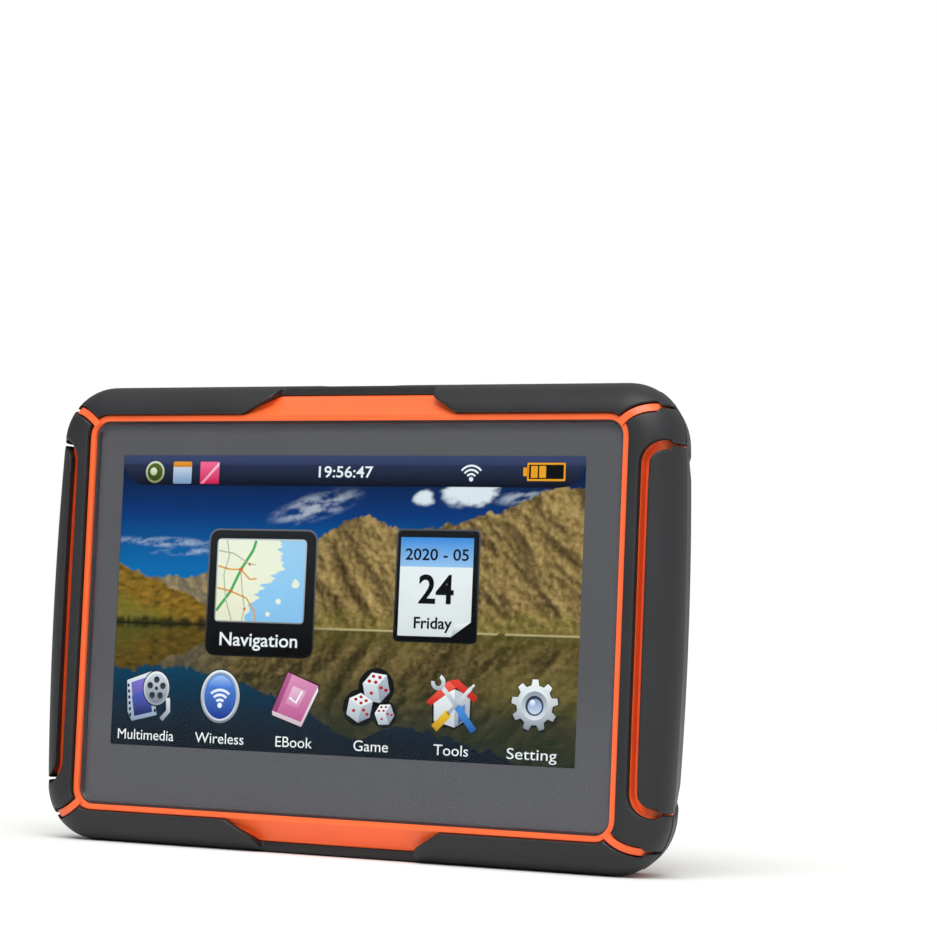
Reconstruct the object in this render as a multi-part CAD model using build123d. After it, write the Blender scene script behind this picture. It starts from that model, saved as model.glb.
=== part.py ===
from build123d import *
import os
from math import cos, radians, sin

# Handheld GPS unit. Millimetres. X to the right of the screen, Y to the back, Z up.
# It stands upright on its lower bumpers: z = 0 is the lowest point, x = y = 0 the middle.

# ---- overall case ----
length = 128.0
height = 85.0
depth = 21.6
end_bow = 1.4
corner_round = 10.5
front_round = 6.5
rear_round = 2.8
rear_lean = 5.0
parting = 7.4

# ---- skins and shells ----
pad_thick = 1.6
bond_gap = 0.03
shell_wall = 1.9
fit_gap = 0.05
line_gap = 0.25
slit_width = 0.3

# ---- touch glass and display ----
glass_width = 107.4
glass_height = 70.5
glass_thick = 1.4
glass_corner = 2.5
glass_recess = 1.2
glass_gap = 0.4
seal_thick = 0.3
display_width = 105.5
display_height = 67.2
display_thick = 2.9
display_fit = 0.25
view_width = 95.04
view_height = 53.86
view_up = 2.5
view_x = -1.0

# ---- orange lines on the front ----
rim_width = 0.95
rim_drop = 0.9
branch_width = 1.3
branch_reach = 6.2
branch_rise = 3.0
band_length = 44.0
band_top_length = 31.0
band_rise = 3.75
band_depth = 3.4
groove_centre = 58.25
groove_width = 1.6
groove_depth = 3.5
groove_corner = 3.6
end_pad_half = 31.5

# ---- orange lines on the back ----
waist = 28.6
waist_spread = 8.0
waist_half = 48.5
line_width = 1.6
line_drop = 0.5
ring_round = 2.9
tail_reach = 9.0
tail_rise = 4.6
end_line = 57.6
end_line_half = 27.0
parting_gap = 0.3
inset_length = 43.0
inset_width = 9.2
inset_tilt = 22.4
inset_up = 38.2
inset_drop = 1.0

# ---- screws and plugs ----
corner_screw_x = 49.8
row_screw_x = 15.1
row_screw_z = 38.0
end_screw_x = 55.0
end_screw_z = 15.1
screw_round = 0.95
screw_head_round = 1.45
screw_head_thick = 1.2
screw_length = 12.0
screw_seat = 4.6
plug_round = 1.5
plug_thick = 1.5
plug_drop = 1.4
boss_round = 2.5

# ---- contacts, speaker, mounting thread ----
contact_count = 5
contact_pitch = 3.5
contact_x = 44.85
contact_z = 9.5
contact_round = 1.0
contact_length = 5.2
contact_drop = 0.4
strip_length = 18.7
strip_width = 4.7
contact_board_thick = 0.8
slot_lengths = (7.7, 12.8, 7.7)
slot_width = 2.1
slot_pitch = 3.4
slot_x = 37.2
slot_z = 25.1
speaker_round = 8.6
speaker_thick = 3.6
speaker_wall = 1.0
mesh_thick = 0.25
insert_z = 20.9
insert_round = 2.0
insert_length = 5.0
insert_drop = 0.55
insert_ring_round = 3.2
thread_round = 1.25
thread_mouth = 0.35

# ---- power button and port cover ----
button_length = 16.0
button_width = 4.4
button_back = 0.4
button_proud = -0.1
button_travel = 0.6
button_gap = 0.3
flange_margin = 0.75
flange_thick = 1.0
switch_width = 6.0
switch_depth = 3.5
switch_floor = 36.2
cover_x = -39.8
cover_length = 8.4
cover_width = 3.6
cover_thick = 1.3
cover_gap = 0.35
cover_pin_round = 0.35
cover_pin_length = 0.7
pin_fit = 0.05
lip_length = 6.8
lip_width = 1.7
lip_depth = 0.7
socket_width = 7.4
socket_thick = 2.5
socket_length = 5.6
socket_fit = 0.15

# ---- board, battery, antenna ----
plate_thick = 0.5
plate_margin = 1.1
board_width = 103.0
board_height = 64.0
board_thick = 1.2
board_front = 7.5
tongue_width = 11.0
tongue_top = 38.3
board_screw_x = 48.3
board_screw_z = 29.0
board_screw_round = 0.7
standoff_round = 1.8
battery_width = 62.0
battery_height = 44.0
battery_thick = 5.2
battery_x = -14.0
battery_z = -8.5
antenna_size = 18.0
antenna_thick = 4.0
antenna_x = -28.0
antenna_z = 22.7
can_thick = 2.1
flex_width = 22.0
flex_thick = 0.2
flex_x = 10.0
seal_x = 59.0
seal_z = 34.9
seal_width = 1.0
seal_corner = 8.0

core = pad_thick + bond_gap
inner = core + shell_wall
floor = depth - inner
glass_back = glass_recess + glass_thick
display_front = glass_back + seal_thick
display_back = display_front + display_thick
board_back = board_front + board_thick
rim_x = glass_width / 2 + glass_gap
rim_z = glass_height / 2 + glass_gap
band_z = rim_z + rim_width
screw_spots = (
    [(x, z) for x in (-corner_screw_x, corner_screw_x) for z in (-row_screw_z, row_screw_z)]
    + [(x, z) for x in (-row_screw_x, row_screw_x) for z in (-row_screw_z, row_screw_z)]
    + [(end_screw_x, z) for z in (-end_screw_z, end_screw_z)]
)
ringed_spots = [spot for spot in screw_spots if abs(spot[0]) > row_screw_x]
cover_axis = parting + cover_gap + cover_thick / 2
button_s = parting + button_back


# ---- helpers ----
def at(s, x=0.0, z=0.0):
    """Plane parallel to the screen, s behind the front face; local axes are X and Z."""
    return Plane(origin=(x, s - depth / 2, height / 2 + z), x_dir=(1, 0, 0), z_dir=(0, -1, 0))


def across(x=0.0):
    """Plane square to X; local axes are the distance behind the front face and Z."""
    return Plane(origin=(x, -depth / 2, height / 2), x_dir=(0, 1, 0), z_dir=(1, 0, 0))


def level(z, s=0.0, x=0.0):
    """Level plane at a height above the middle; local axes are X and the distance back."""
    return Plane(origin=(x, s - depth / 2, height / 2 + z), x_dir=(1, 0, 0), z_dir=(0, 0, 1))


def slab(shape, s0, s1, x=0.0, z=0.0):
    """A flat shape pulled straight from s0 back to s1."""
    return extrude(at(s0, x, z) * shape, s1 - s0, dir=(0, 1, 0))


def rod(radius, s0, s1, x=0.0, z=0.0):
    return slab(Circle(radius), s0, s1, x, z)


def block(width, tall, s0, s1, x=0.0, z=0.0):
    return slab(Rectangle(width, tall), s0, s1, x, z)


def stadium(length_over_all, width):
    return SlotOverall(length_over_all, width)


def flipped(shape, plane):
    """Mirror image of a flat shape, its faces turned back to look the same way."""
    faces = mirror(shape, plane).faces()
    return Sketch() + [face if face.normal_at().Z > 0 else -face for face in faces]


def in_corners(shape):
    """The same shape in all four corners."""
    half = shape + flipped(shape, Plane.YZ)
    return half + flipped(half, Plane.XZ)


def upside_down(solid):
    return mirror(solid, Plane(origin=(0, 0, height / 2), z_dir=(0, 0, 1)))


def pick(shape, x, s, z):
    """The separate solid nearest to a point."""
    spot = Vertex(x, s - depth / 2, height / 2 + z)
    return min(shape.solids(), key=lambda solid: solid.distance_to(spot))


# ---- outer shape ----
def outline(inset, lean=0.0):
    """Plan of the case: straight long sides, bowed short ends, rounded corners."""
    hx = length / 2 - lean - inset
    hz = height / 2 - inset
    wx = hx - end_bow
    edges = [
        Line((-wx, hz), (wx, hz)),
        ThreePointArc((wx, hz), (hx, 0), (wx, -hz)),
        Line((wx, -hz), (-wx, -hz)),
        ThreePointArc((-wx, -hz), (-hx, 0), (-wx, hz)),
    ]
    plan = make_face(edges)
    return fillet(plan.vertices(), corner_round - inset)


def envelope(inset):
    """The rounded case shape, pulled in everywhere by the inset."""
    body = slab(outline(inset), inset, parting)
    ends = [at(parting) * outline(inset), at(depth - inset) * outline(inset, rear_lean)]
    body += loft(ends)
    front = body.faces().sort_by(Axis.Y)[0]
    body = fillet(front.edges(), front_round - inset)
    back = body.faces().sort_by(Axis.Y)[-1]
    return fillet(back.edges(), max(rear_round - inset, 0.5))


def front_of(shape, s):
    return shape & block(2 * length, 2 * height, -5, s)


def behind(shape, s):
    return shape & block(2 * length, 2 * height, s, depth + 5)


# ---- lines on the front ----
def window():
    return RectangleRounded(2 * rim_x, 2 * rim_z, glass_corner + glass_gap)


def rim(grow=0.0):
    wide = 2 * (rim_x + rim_width + grow)
    tall = 2 * (rim_z + rim_width + grow)
    return RectangleRounded(wide, tall, glass_corner + glass_gap + rim_width + grow)


def branch_path():
    """From under the corner of the rim out towards the corner of the case."""
    start = (rim_x - 0.7, rim_z - 0.7)
    end = (start[0] + branch_reach, start[1] + branch_rise)
    return ThreePointArc(start, (start[0] + 0.5 * branch_reach, start[1] + 0.75 * branch_rise), end)


def branches(grow=0.0):
    return in_corners(trace(branch_path(), branch_width + 2 * grow))


def branch_slits():
    tip = branch_path() @ 1
    line = Line((tip.X - 0.5, tip.Y), (length, tip.Y + 1))
    return in_corners(trace(line, slit_width))


def end_groove():
    x = groove_centre
    z = end_pad_half
    path = FilletPolyline((x, -1), (x, z), (x + groove_corner + 0.2, z), radius=groove_corner)
    return in_corners(trace(path, groove_width))


def end_slits():
    line = Line((groove_centre + groove_corner, end_pad_half), (length, end_pad_half))
    return in_corners(trace(line, slit_width))


def front_channels():
    """Everything the black front skin leaves open, seen from the front."""
    return rim(line_gap) + branches(line_gap) + branch_slits() + end_groove() + end_slits()


def band_plan(grow=0.0):
    """Outline of the orange band between the two halves of the top edge."""
    wide = band_length / 2 + grow
    narrow = band_top_length / 2 + grow
    high = band_z + band_rise
    plan = Polygon((-wide, band_z), (wide, band_z), (narrow, high), (narrow, height),
                   (-narrow, height), (-narrow, high), align=None)
    return fillet(plan.vertices().filter_by(lambda v: abs(v.Y - high) < 0.01), 3.0)


def band_space(grow=0.0):
    return slab(band_plan(grow), -2, rim_drop + band_depth)


def band_slope():
    """Everything in front of the band's sloping face, over the whole length."""
    high = band_z + band_rise
    back = rim_drop + band_depth
    side = Polygon((-2, band_z), (rim_drop, band_z), (back, high), (back, height), (-2, height),
                   align=None)
    return extrude(across(-length / 2) * side, length)


def band_block():
    """Orange stock under the sloping band."""
    low = block(length, 2 * band_z + 2 * band_rise, 0, parting)
    return band_space() & low - slab(Rectangle(length, 2 * band_z), -2, rim_drop)


# ---- lines on the back ----
def waist_lines(grow=0.0):
    top = ThreePointArc((-waist_half, waist + waist_spread), (0, waist),
                        (waist_half, waist + waist_spread))
    line = trace(top, line_width + 2 * grow)
    return line + flipped(line, Plane.XZ)


def tails(grow=0.0):
    start = (corner_screw_x + 0.5 * ring_round, row_screw_z + 0.3 * ring_round)
    end = (start[0] + tail_reach + 6, start[1] + (tail_reach + 6) * tail_rise / tail_reach)
    return in_corners(trace(Line(start, end), line_width + 2 * grow))


def end_lines(grow=0.0):
    x = end_line
    path = FilletPolyline((x, -1), (x, end_line_half), (x + 2.6, end_pad_half - 0.3),
                          (x + 4.6, end_pad_half - 0.05), radius=2.0)
    return in_corners(trace(path, line_width + 2 * grow))


def rings(grow=0.0):
    return Sketch() + [Pos(x, z) * Circle(ring_round + grow) for x, z in ringed_spots]


def strip(grow=0.0):
    return Pos(contact_x, contact_z) * stadium(strip_length + 2 * grow, strip_width + 2 * grow)


def insert_disc(grow=0.0):
    return Pos(0, insert_z) * Circle(insert_ring_round + grow)


def rear_channels(grow=0.0):
    lines = waist_lines(grow) + tails(grow) + end_lines(grow) + rings(grow)
    return lines + strip(grow) + insert_disc(grow)


def rear_cuts():
    """Everything the black rear skin leaves open, seen from the back."""
    return rear_channels(line_gap) + end_slits()


def inset_prism(grow=0.0):
    """Long oval let into the rear edge, tipped over the edge."""
    tilt = radians(inset_tilt)
    plane = Plane(origin=(0, depth / 2 - 1.8, height / 2 + inset_up), x_dir=(1, 0, 0),
                  z_dir=(0, cos(tilt), sin(tilt)))
    shape = stadium(inset_length + 2 * grow, inset_width + 2 * grow)
    top = extrude(plane * shape, 5) + extrude(plane * shape, -4)
    return top + upside_down(top)


def slots():
    holes = Sketch()
    for row, long in enumerate(slot_lengths):
        z = slot_z + (row - 1) * slot_pitch
        holes += Pos(slot_x, z) * stadium(long, slot_width)
    return holes


# ---- openings in the top edge ----
def button_space(grow):
    """Through hole for the button's cap with the wider pocket for its flange below."""
    shape = stadium(button_length + 2 * grow, button_width + 2 * grow)
    hole = extrude(level(tongue_top, button_s) * shape, height)
    shape = stadium(button_length + 2 * flange_margin + 2 * grow,
                    button_width + 2 * flange_margin + 2 * grow)
    top = flange_top() + fit_gap
    return hole + extrude(level(switch_floor, button_s) * shape, top - switch_floor)


def flange_top():
    return height / 2 - core - 1.0


def cover_space():
    """Cut through the skin for the port cover."""
    s0 = parting
    s1 = parting + cover_gap + cover_width + cover_gap
    wide = cover_length + 2 * cover_gap
    shape = Rectangle(wide, s1 - s0)
    return extrude(level(height / 2 - core, (s0 + s1) / 2, cover_x) * shape, 5)


def socket_space():
    s = board_back + socket_thick / 2
    shape = RectangleRounded(socket_width + 2 * socket_fit, socket_thick + 2 * socket_fit, 0.6)
    return extrude(level(seal_z, s, cover_x) * shape, height / 2 - seal_z)


# ---- black skins ----
def front_skin():
    skin = front_of(envelope(0) - envelope(pad_thick), parting - parting_gap / 2)
    skin -= slab(front_channels(), -1, parting)
    skin -= band_space(line_gap) + upside_down(band_space(line_gap))
    skin -= button_space(button_gap)
    return skin


def end_pads(outer, core_shape):
    """Rounded pads over both short ends; each runs from the front to the back."""
    skin = outer - core_shape
    front = front_of(skin, parting) - slab(front_channels(), -1, parting)
    back = behind(skin, parting) - slab(rear_cuts(), parting, depth)
    pads = []
    for x in (-length / 2, length / 2):
        pads.append(pick(front, x, 2 * pad_thick, 0) + pick(back, x, depth / 2, 0))
    return pads


def rear_skin():
    skin = behind(envelope(0) - envelope(pad_thick), parting + parting_gap / 2)
    skin -= slab(rear_cuts(), parting, depth + 1)
    skin -= inset_prism(line_gap)
    skin -= slab(slots(), parting, depth + 1)
    skin -= button_space(button_gap)
    skin -= cover_space()
    pin = Cylinder(cover_pin_round + pin_fit, cover_length + 2 * cover_pin_length + 0.6,
                   rotation=(0, 90, 0))
    return skin - cover_place() * pin


def cover_place():
    return Pos(cover_x, cover_axis - depth / 2, height - cover_thick / 2)


# ---- housings ----
def seal_ring(width):
    outer = RectangleRounded(2 * seal_x + width, 2 * seal_z + width, seal_corner + width / 2)
    return outer - RectangleRounded(2 * seal_x - width, 2 * seal_z - width, seal_corner - width / 2)


def front_housing():
    body = front_of(envelope(core), parting)
    body += slab(rim() - window(), rim_drop, glass_back)
    ribs = slab(branches(), 0, parting) & envelope(line_drop)
    body += front_of(ribs, parting)
    body += band_block() + upside_down(band_block())
    cut = band_space() & band_slope()
    body -= cut + upside_down(cut)
    body -= slab(end_groove(), -1, groove_depth)
    body -= slab(window(), -1, display_front)
    body -= block(display_width + 2 * display_fit, display_height + 2 * display_fit, 0, parting)
    body -= slab(seal_ring(seal_width + fit_gap), parting - seal_width, parting)
    body -= button_space(button_gap)
    for x, z in screw_spots:
        body -= rod(screw_round + fit_gap, depth - screw_seat - screw_length - 0.3, parting, x, z)
    return body


def screw_bore(x, z):
    seat = depth - screw_seat
    bore = rod(screw_round + 2 * fit_gap, parting, seat, x, z)
    bore += rod(screw_head_round + 2 * fit_gap, seat, depth - plug_drop - plug_thick, x, z)
    return bore + rod(plug_round + fit_gap / 2, depth - plug_drop - plug_thick - 0.1, depth, x, z)


def rear_housing():
    body = behind(envelope(core), parting)
    ribs = slab(rear_channels(), parting, depth) & envelope(line_drop)
    body += behind(ribs, parting)
    body += behind(inset_prism() & envelope(inset_drop), parting)
    body -= behind(envelope(inner), parting - 1)
    for x, z in screw_spots:
        body += rod(boss_round, parting, floor + 0.5, x, z)
    ring = Circle(speaker_round + fit_gap + speaker_wall) - Circle(speaker_round + fit_gap)
    body += slab(ring, floor - speaker_thick + 0.6, floor + 0.1, slot_x, slot_z)
    body += rod(insert_round + 1.3, depth - insert_drop - insert_length - 0.6, floor + 0.1, 0, insert_z)
    for x, z in screw_spots:
        body -= screw_bore(x, z)
    for x, z in contact_spots():
        body -= rod(contact_round + fit_gap / 2, floor - 1, depth, x, z)
    body -= rod(insert_round + fit_gap / 2, depth - insert_drop - insert_length - 0.05, depth, 0, insert_z)
    body -= slab(slots(), floor - 0.5, depth)
    body -= button_space(button_gap)
    body -= socket_space()
    return body


def case_seal():
    return slab(seal_ring(seal_width), parting - seal_width + fit_gap / 2, parting)


# ---- glass and display ----
def touch_glass():
    glass = slab(RectangleRounded(glass_width, glass_height, glass_corner), glass_recess, glass_back)
    front = glass.faces().sort_by(Axis.Y)[0]
    return chamfer(front.edges(), 0.25)


def glass_seal():
    shape = RectangleRounded(glass_width - 0.4, glass_height - 0.4, glass_corner)
    shape -= Pos(view_x, view_up) * Rectangle(view_width + 2.4, view_height + 2.4)
    return slab(shape, glass_back, display_front)


def display():
    body = block(display_width, display_height, display_front, display_back)
    film = block(view_width + 1.6, view_height + 1.6, display_front - 0.2, display_front + 0.1, view_x, view_up)
    return body + film


def display_plate():
    wide = display_width - 2 * plate_margin
    tall = display_height - 2 * plate_margin
    plate = slab(RectangleRounded(wide, tall, 2), display_back + fit_gap, display_back + fit_gap + plate_thick)
    for x in (-board_screw_x, board_screw_x):
        for z in (-board_screw_z, board_screw_z):
            plate += rod(standoff_round, display_back + fit_gap, board_front, x, z)
            plate -= rod(board_screw_round + fit_gap, display_back, board_front, x, z)
    return plate


def display_flex():
    z = -display_height / 2 + 0.6
    back = board_back + 0.4
    path = FilletPolyline((display_back + 0.02, z), (back, z), (back, z + 4.6), radius=0.6)
    ribbon = trace(path, flex_thick)
    return extrude(across(flex_x - flex_width / 2) * ribbon, flex_width)


def display_socket():
    z = -display_height / 2 + 0.6 + 4.6 + 1.6
    return block(flex_width + 2, 3.0, board_back, board_back + 1.2, flex_x, z)


# ---- screws, plugs, threads, contacts ----
def case_screws():
    seat = depth - screw_seat
    screws = []
    for x, z in screw_spots:
        screw = rod(screw_round, seat - screw_length, seat, x, z)
        screw += rod(screw_head_round, seat, seat + screw_head_thick, x, z)
        screw -= rod(0.55, seat + 0.5, seat + screw_head_thick, x, z)
        screws.append(screw)
    return Compound(children=[part_of(screw) for screw in screws])


def part_of(shape):
    return shape.solids()[0]


def screw_plugs():
    plugs = []
    for x, z in screw_spots:
        back = depth - plug_drop
        plug = rod(plug_round, back - plug_thick, back, x, z)
        plug -= block(0.7, 0.8, back - 0.5, back, x, z + plug_round)
        plugs.append(part_of(plug))
    return Compound(children=plugs)


def mount_insert():
    back = depth - insert_drop
    body = rod(insert_round, back - insert_length, back, 0, insert_z)
    body -= rod(thread_round, back - insert_length, back, 0, insert_z)
    mouth = body.edges().filter_by(GeomType.CIRCLE).filter_by(
        lambda e: e.radius < insert_round - 0.1).sort_by(Axis.Y)[-1]
    return chamfer(mouth, thread_mouth)


def contact_spots():
    first = contact_x - contact_pitch * (contact_count - 1) / 2
    return [(first + i * contact_pitch, contact_z) for i in range(contact_count)]


def contact_pins():
    back = depth - contact_drop
    pins = []
    for x, z in contact_spots():
        pin = rod(contact_round, back - contact_length, back, x, z)
        pin -= Pos(x, back - depth / 2 + 0.75, height / 2 + z) * Sphere(0.85)
        pins.append(part_of(pin))
    return Compound(children=pins)


def contact_board():
    front = depth - contact_drop - contact_length - contact_board_thick
    return block(strip_length + 1, strip_width + 1.5, front, front + contact_board_thick, contact_x, contact_z)


# ---- speaker ----
def speaker_mesh():
    return rod(speaker_round, floor - mesh_thick, floor, slot_x, slot_z)


def speaker():
    back = floor - mesh_thick
    body = rod(speaker_round, back - 1.4, back, slot_x, slot_z)
    body += rod(0.62 * speaker_round, back - speaker_thick, back - 1.2, slot_x, slot_z)
    return body - rod(0.8 * speaker_round, back - 0.5, back, slot_x, slot_z)


# ---- board and what sits on it ----
def main_board():
    board = slab(RectangleRounded(board_width, board_height, 1.5), board_front, board_back)
    tongue = Rectangle(tongue_width, tongue_top - board_height / 2 + 4, align=(Align.CENTER, Align.MAX))
    board += slab(tongue, board_front, board_back, cover_x, tongue_top)
    for x in (-board_screw_x, board_screw_x):
        for z in (-board_screw_z, board_screw_z):
            board -= rod(board_screw_round + fit_gap, board_front, board_back, x, z)
    return board


def board_screws():
    screws = []
    for x in (-board_screw_x, board_screw_x):
        for z in (-board_screw_z, board_screw_z):
            screw = rod(board_screw_round, board_front - 1.2, board_back, x, z)
            screw += rod(1.3, board_back, board_back + 0.8, x, z)
            screws.append(part_of(screw))
    return Compound(children=screws)


def shield(width, tall, x, z):
    can = block(width, tall, board_back, board_back + can_thick, x, z)
    can = fillet(can.edges().filter_by(Axis.Y), 1.0)
    top = can.faces().sort_by(Axis.Y)[-1]
    can = fillet(top.edges(), 0.4)
    return can - block(width - 0.6, tall - 0.6, board_back, board_back + can_thick - 0.3, x, z)


def antenna():
    body = block(antenna_size, antenna_size, board_back, board_back + antenna_thick, antenna_x, antenna_z)
    body = chamfer(body.edges().filter_by(Axis.Y), 0.8)
    pad = block(antenna_size - 4, antenna_size - 4, board_back + antenna_thick,
                board_back + antenna_thick + 0.05, antenna_x, antenna_z)
    return body + pad


def battery():
    front = floor - battery_thick
    pack = block(battery_width, battery_height, front, floor, battery_x, battery_z)
    return fillet(pack.edges().filter_by(Axis.Z), 1.6)


def battery_leads():
    right = battery_x + battery_width / 2
    leads = []
    for z in (-1.0, 1.0):
        a = Vector(right, floor - battery_thick / 2 - depth / 2, height / 2 + battery_z + z)
        b = a + Vector(5, -2.4, 0)
        c = Vector(right + 9, board_back + 0.85 - depth / 2, height / 2 + battery_z + z)
        path = Spline(a, b, c, tangents=[(1, 0, 0), (0.4, -1, 0)])
        leads.append(part_of(sweep(Plane(a, z_dir=(1, 0, 0)) * Circle(0.45), path)))
    return Compound(children=leads)


def battery_socket():
    return block(3.0, 5.0, board_back, board_back + 0.55, battery_x + battery_width / 2 + 9, battery_z)


def usb_socket():
    s = board_back + socket_thick / 2 + fit_gap / 2
    top = height / 2 - core - 0.9
    shape = RectangleRounded(socket_width, socket_thick - fit_gap, 0.6)
    hollow = RectangleRounded(socket_width - 0.6, socket_thick - fit_gap - 0.6, 0.4)
    shell = extrude(level(top, s, cover_x) * shape, -socket_length)
    shell -= extrude(level(top, s, cover_x) * hollow, -(socket_length - 0.8))
    tongue = Rectangle(3.8, 0.6)
    return shell + extrude(level(top - 0.8, s, cover_x) * tongue, -(socket_length - 1.2))


# ---- power button ----
def power_switch():
    plate = Rectangle(switch_width, switch_depth)
    body = extrude(level(switch_floor + 0.02, button_s) * plate, 1.35)
    top = flange_top() - flange_thick - button_travel - fit_gap
    return body + extrude(level(switch_floor + 1, button_s) * Circle(0.9), top - switch_floor - 1)


def power_button():
    low = flange_top() - flange_thick
    high = height / 2 + button_proud
    wide = button_length + 2 * flange_margin
    flange = extrude(level(low, button_s) * stadium(wide, button_width + 2 * flange_margin), flange_thick)
    cap = extrude(level(low, button_s) * stadium(button_length, button_width), high - low)
    top = cap.faces().sort_by(Axis.Z)[-1]
    cap = fillet(top.edges(), 0.45)
    mark = extrude(level(high - 0.25, button_s) * stadium(button_length - 5, 0.8), 1)
    return cap + flange - mark


# ---- port cover ----
def port_cover():
    """Flap closed over the socket; it swings about its edge next to the parting line."""
    r = cover_thick / 2
    knuckle = Cylinder(r, cover_length, rotation=(0, 90, 0))
    leaf = Pos(0, (cover_width - r) / 2, 0) * Box(cover_length, cover_width - r, cover_thick)
    far = leaf.edges().filter_by(Axis.Z).sort_by(Axis.Y)[-2:]
    leaf = fillet(far, 0.8)
    lip_y = board_back + socket_thick / 2 - cover_axis
    lip = Pos(0, lip_y, -r - lip_depth / 2 + 0.05) * Box(lip_length, lip_width, lip_depth + 0.1)
    pin = Cylinder(cover_pin_round, cover_length + 2 * cover_pin_length, rotation=(0, 90, 0))
    return cover_place() * (knuckle + leaf + lip + pin)


def save(name, shape):
    export_step(shape, f"parts/{name}.step")


def build():
    os.makedirs("parts", exist_ok=True)
    skin = front_skin()
    x = glass_width / 2
    save("bumper_top", pick(skin, x / 2, 1, band_z + 1))
    save("bumper_bottom", pick(skin, x / 2, 1, -band_z - 1))
    save("side_pad_left", pick(skin, -rim_x - 2, 1, 0))
    save("side_pad_right", pick(skin, rim_x + 2, 1, 0))
    left, right = end_pads(envelope(0), envelope(pad_thick))
    save("end_pad_left", left)
    save("end_pad_right", right)
    skin = rear_skin()
    save("rear_panel", pick(skin, 0, depth, 0))
    save("rear_pad_top", pick(skin, 0, depth, waist + 4))
    save("rear_pad_bottom", pick(skin, 0, depth, -waist - 4))
    save("front_housing", front_housing())
    save("rear_housing", rear_housing())
    save("case_seal", case_seal())
    save("touch_glass", touch_glass())
    save("glass_seal", glass_seal())
    save("display", display())
    save("display_plate", display_plate())
    save("display_flex", display_flex())
    save("display_socket", display_socket())
    save("case_screws", case_screws())
    save("screw_plugs", screw_plugs())
    save("mount_insert", mount_insert())
    save("contact_pins", contact_pins())
    save("contact_board", contact_board())
    save("speaker", speaker())
    save("speaker_mesh", speaker_mesh())
    save("main_board", main_board())
    save("board_screws", board_screws())
    save("processor_shield", shield(24, 22, -14, -12))
    save("receiver_shield", shield(13, 12, -10, 24))
    save("antenna", antenna())
    save("battery", battery())
    save("battery_leads", battery_leads())
    save("battery_socket", battery_socket())
    save("usb_socket", usb_socket())
    save("power_switch", power_switch())
    save("power_button", power_button())
    save("port_cover", port_cover())


if __name__ == "__main__":
    build()
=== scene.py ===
"""Handheld GPS unit: pieces, finishes and studio around the packed frame."""
from math import cos, degrees, radians, sin, tau

import bmesh
import bpy
from bpy.props import (
    FloatProperty,
    FloatVectorProperty,
    IntProperty,
    PointerProperty,
)
from mathutils import Euler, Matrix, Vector, noise


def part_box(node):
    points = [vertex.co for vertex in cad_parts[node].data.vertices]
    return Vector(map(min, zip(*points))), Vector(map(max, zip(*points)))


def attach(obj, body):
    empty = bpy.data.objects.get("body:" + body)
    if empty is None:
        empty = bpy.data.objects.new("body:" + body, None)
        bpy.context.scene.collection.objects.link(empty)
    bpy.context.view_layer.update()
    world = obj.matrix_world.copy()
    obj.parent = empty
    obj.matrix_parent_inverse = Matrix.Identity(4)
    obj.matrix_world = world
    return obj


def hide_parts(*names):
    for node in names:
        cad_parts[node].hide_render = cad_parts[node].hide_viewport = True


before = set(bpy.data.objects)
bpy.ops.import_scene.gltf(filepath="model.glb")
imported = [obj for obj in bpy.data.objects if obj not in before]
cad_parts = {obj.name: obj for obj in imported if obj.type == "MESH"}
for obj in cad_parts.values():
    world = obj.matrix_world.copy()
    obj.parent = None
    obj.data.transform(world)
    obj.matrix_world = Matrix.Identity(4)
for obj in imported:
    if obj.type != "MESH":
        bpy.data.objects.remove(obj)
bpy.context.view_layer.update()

bl_info = {
    "name": "Handheld GPS unit",
    "version": (1, 0, 0),
    "blender": (4, 5, 0),
    "location": "View3D > Sidebar > GPS unit",
    "description": "Builds the visible pieces of a rugged handheld GPS unit around its frame",
    "category": "Add Mesh",
}

MM = 0.001

# Where things are, from the frame: the screen stands upright and faces -Y.
GLASS_LOW, GLASS_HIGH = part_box("touch_glass")
FILM_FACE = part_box("display")[0].y
MIDDLE_X = 0.5 * (GLASS_LOW.x + GLASS_HIGH.x)
MIDDLE_Z = 0.5 * (GLASS_LOW.z + GLASS_HIGH.z)
SCREEN_X = MIDDLE_X - 1.0 * MM
SCREEN_Z = MIDDLE_Z + 2.5 * MM
SCREEN_HALF_U = 47.52
SCREEN_HALF_V = 26.93
PICTURE_GAP = 0.010 * MM
LEAF_GAP = 0.012 * MM
LEAF_STEP = 0.008 * MM
LEAF_THICK = 0.005 * MM
CAPITAL_HEIGHT = 0.73
MERGE_GAP = 0.004 * MM

# ---------------------------------------------------------------- helpers


def linear(code):
    """sRGB hex to linear RGBA."""
    parts = [int(code[i:i + 2], 16) / 255 for i in (1, 3, 5)]
    lin = [c / 12.92 if c <= 0.04045 else ((c + 0.055) / 1.055) ** 2.4 for c in parts]
    return (*lin, 1.0)


def blend(a, b, share):
    """A colour or a value part of the way from a to b."""
    if isinstance(a, (int, float)):
        return a + (b - a) * share
    return tuple(x + (y - x) * share for x, y in zip(a, b))


def smooth(low, high, value):
    """An even S-shaped rise from 0 at low to 1 at high."""
    share = min(1.0, max(0.0, (value - low) / (high - low)))
    return share * share * (3 - 2 * share)


def add(tree, kind, into=None, stops=None, **settings):
    """Adds a node. Sockets in into are linked and values are set; stops fill a colour ramp."""
    node = tree.nodes.new(kind)
    for key, value in settings.items():
        setattr(node, key, value)
    for key, value in (into or {}).items():
        if isinstance(value, bpy.types.NodeSocket):
            tree.links.new(value, node.inputs[key])
        else:
            node.inputs[key].default_value = value
    if stops:
        ramp = node.color_ramp.elements
        ramp.remove(ramp[1])
        ramp[0].position, ramp[0].color = stops[0]
        for place, colour in stops[1:]:
            ramp.new(place).color = colour
    return node


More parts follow.
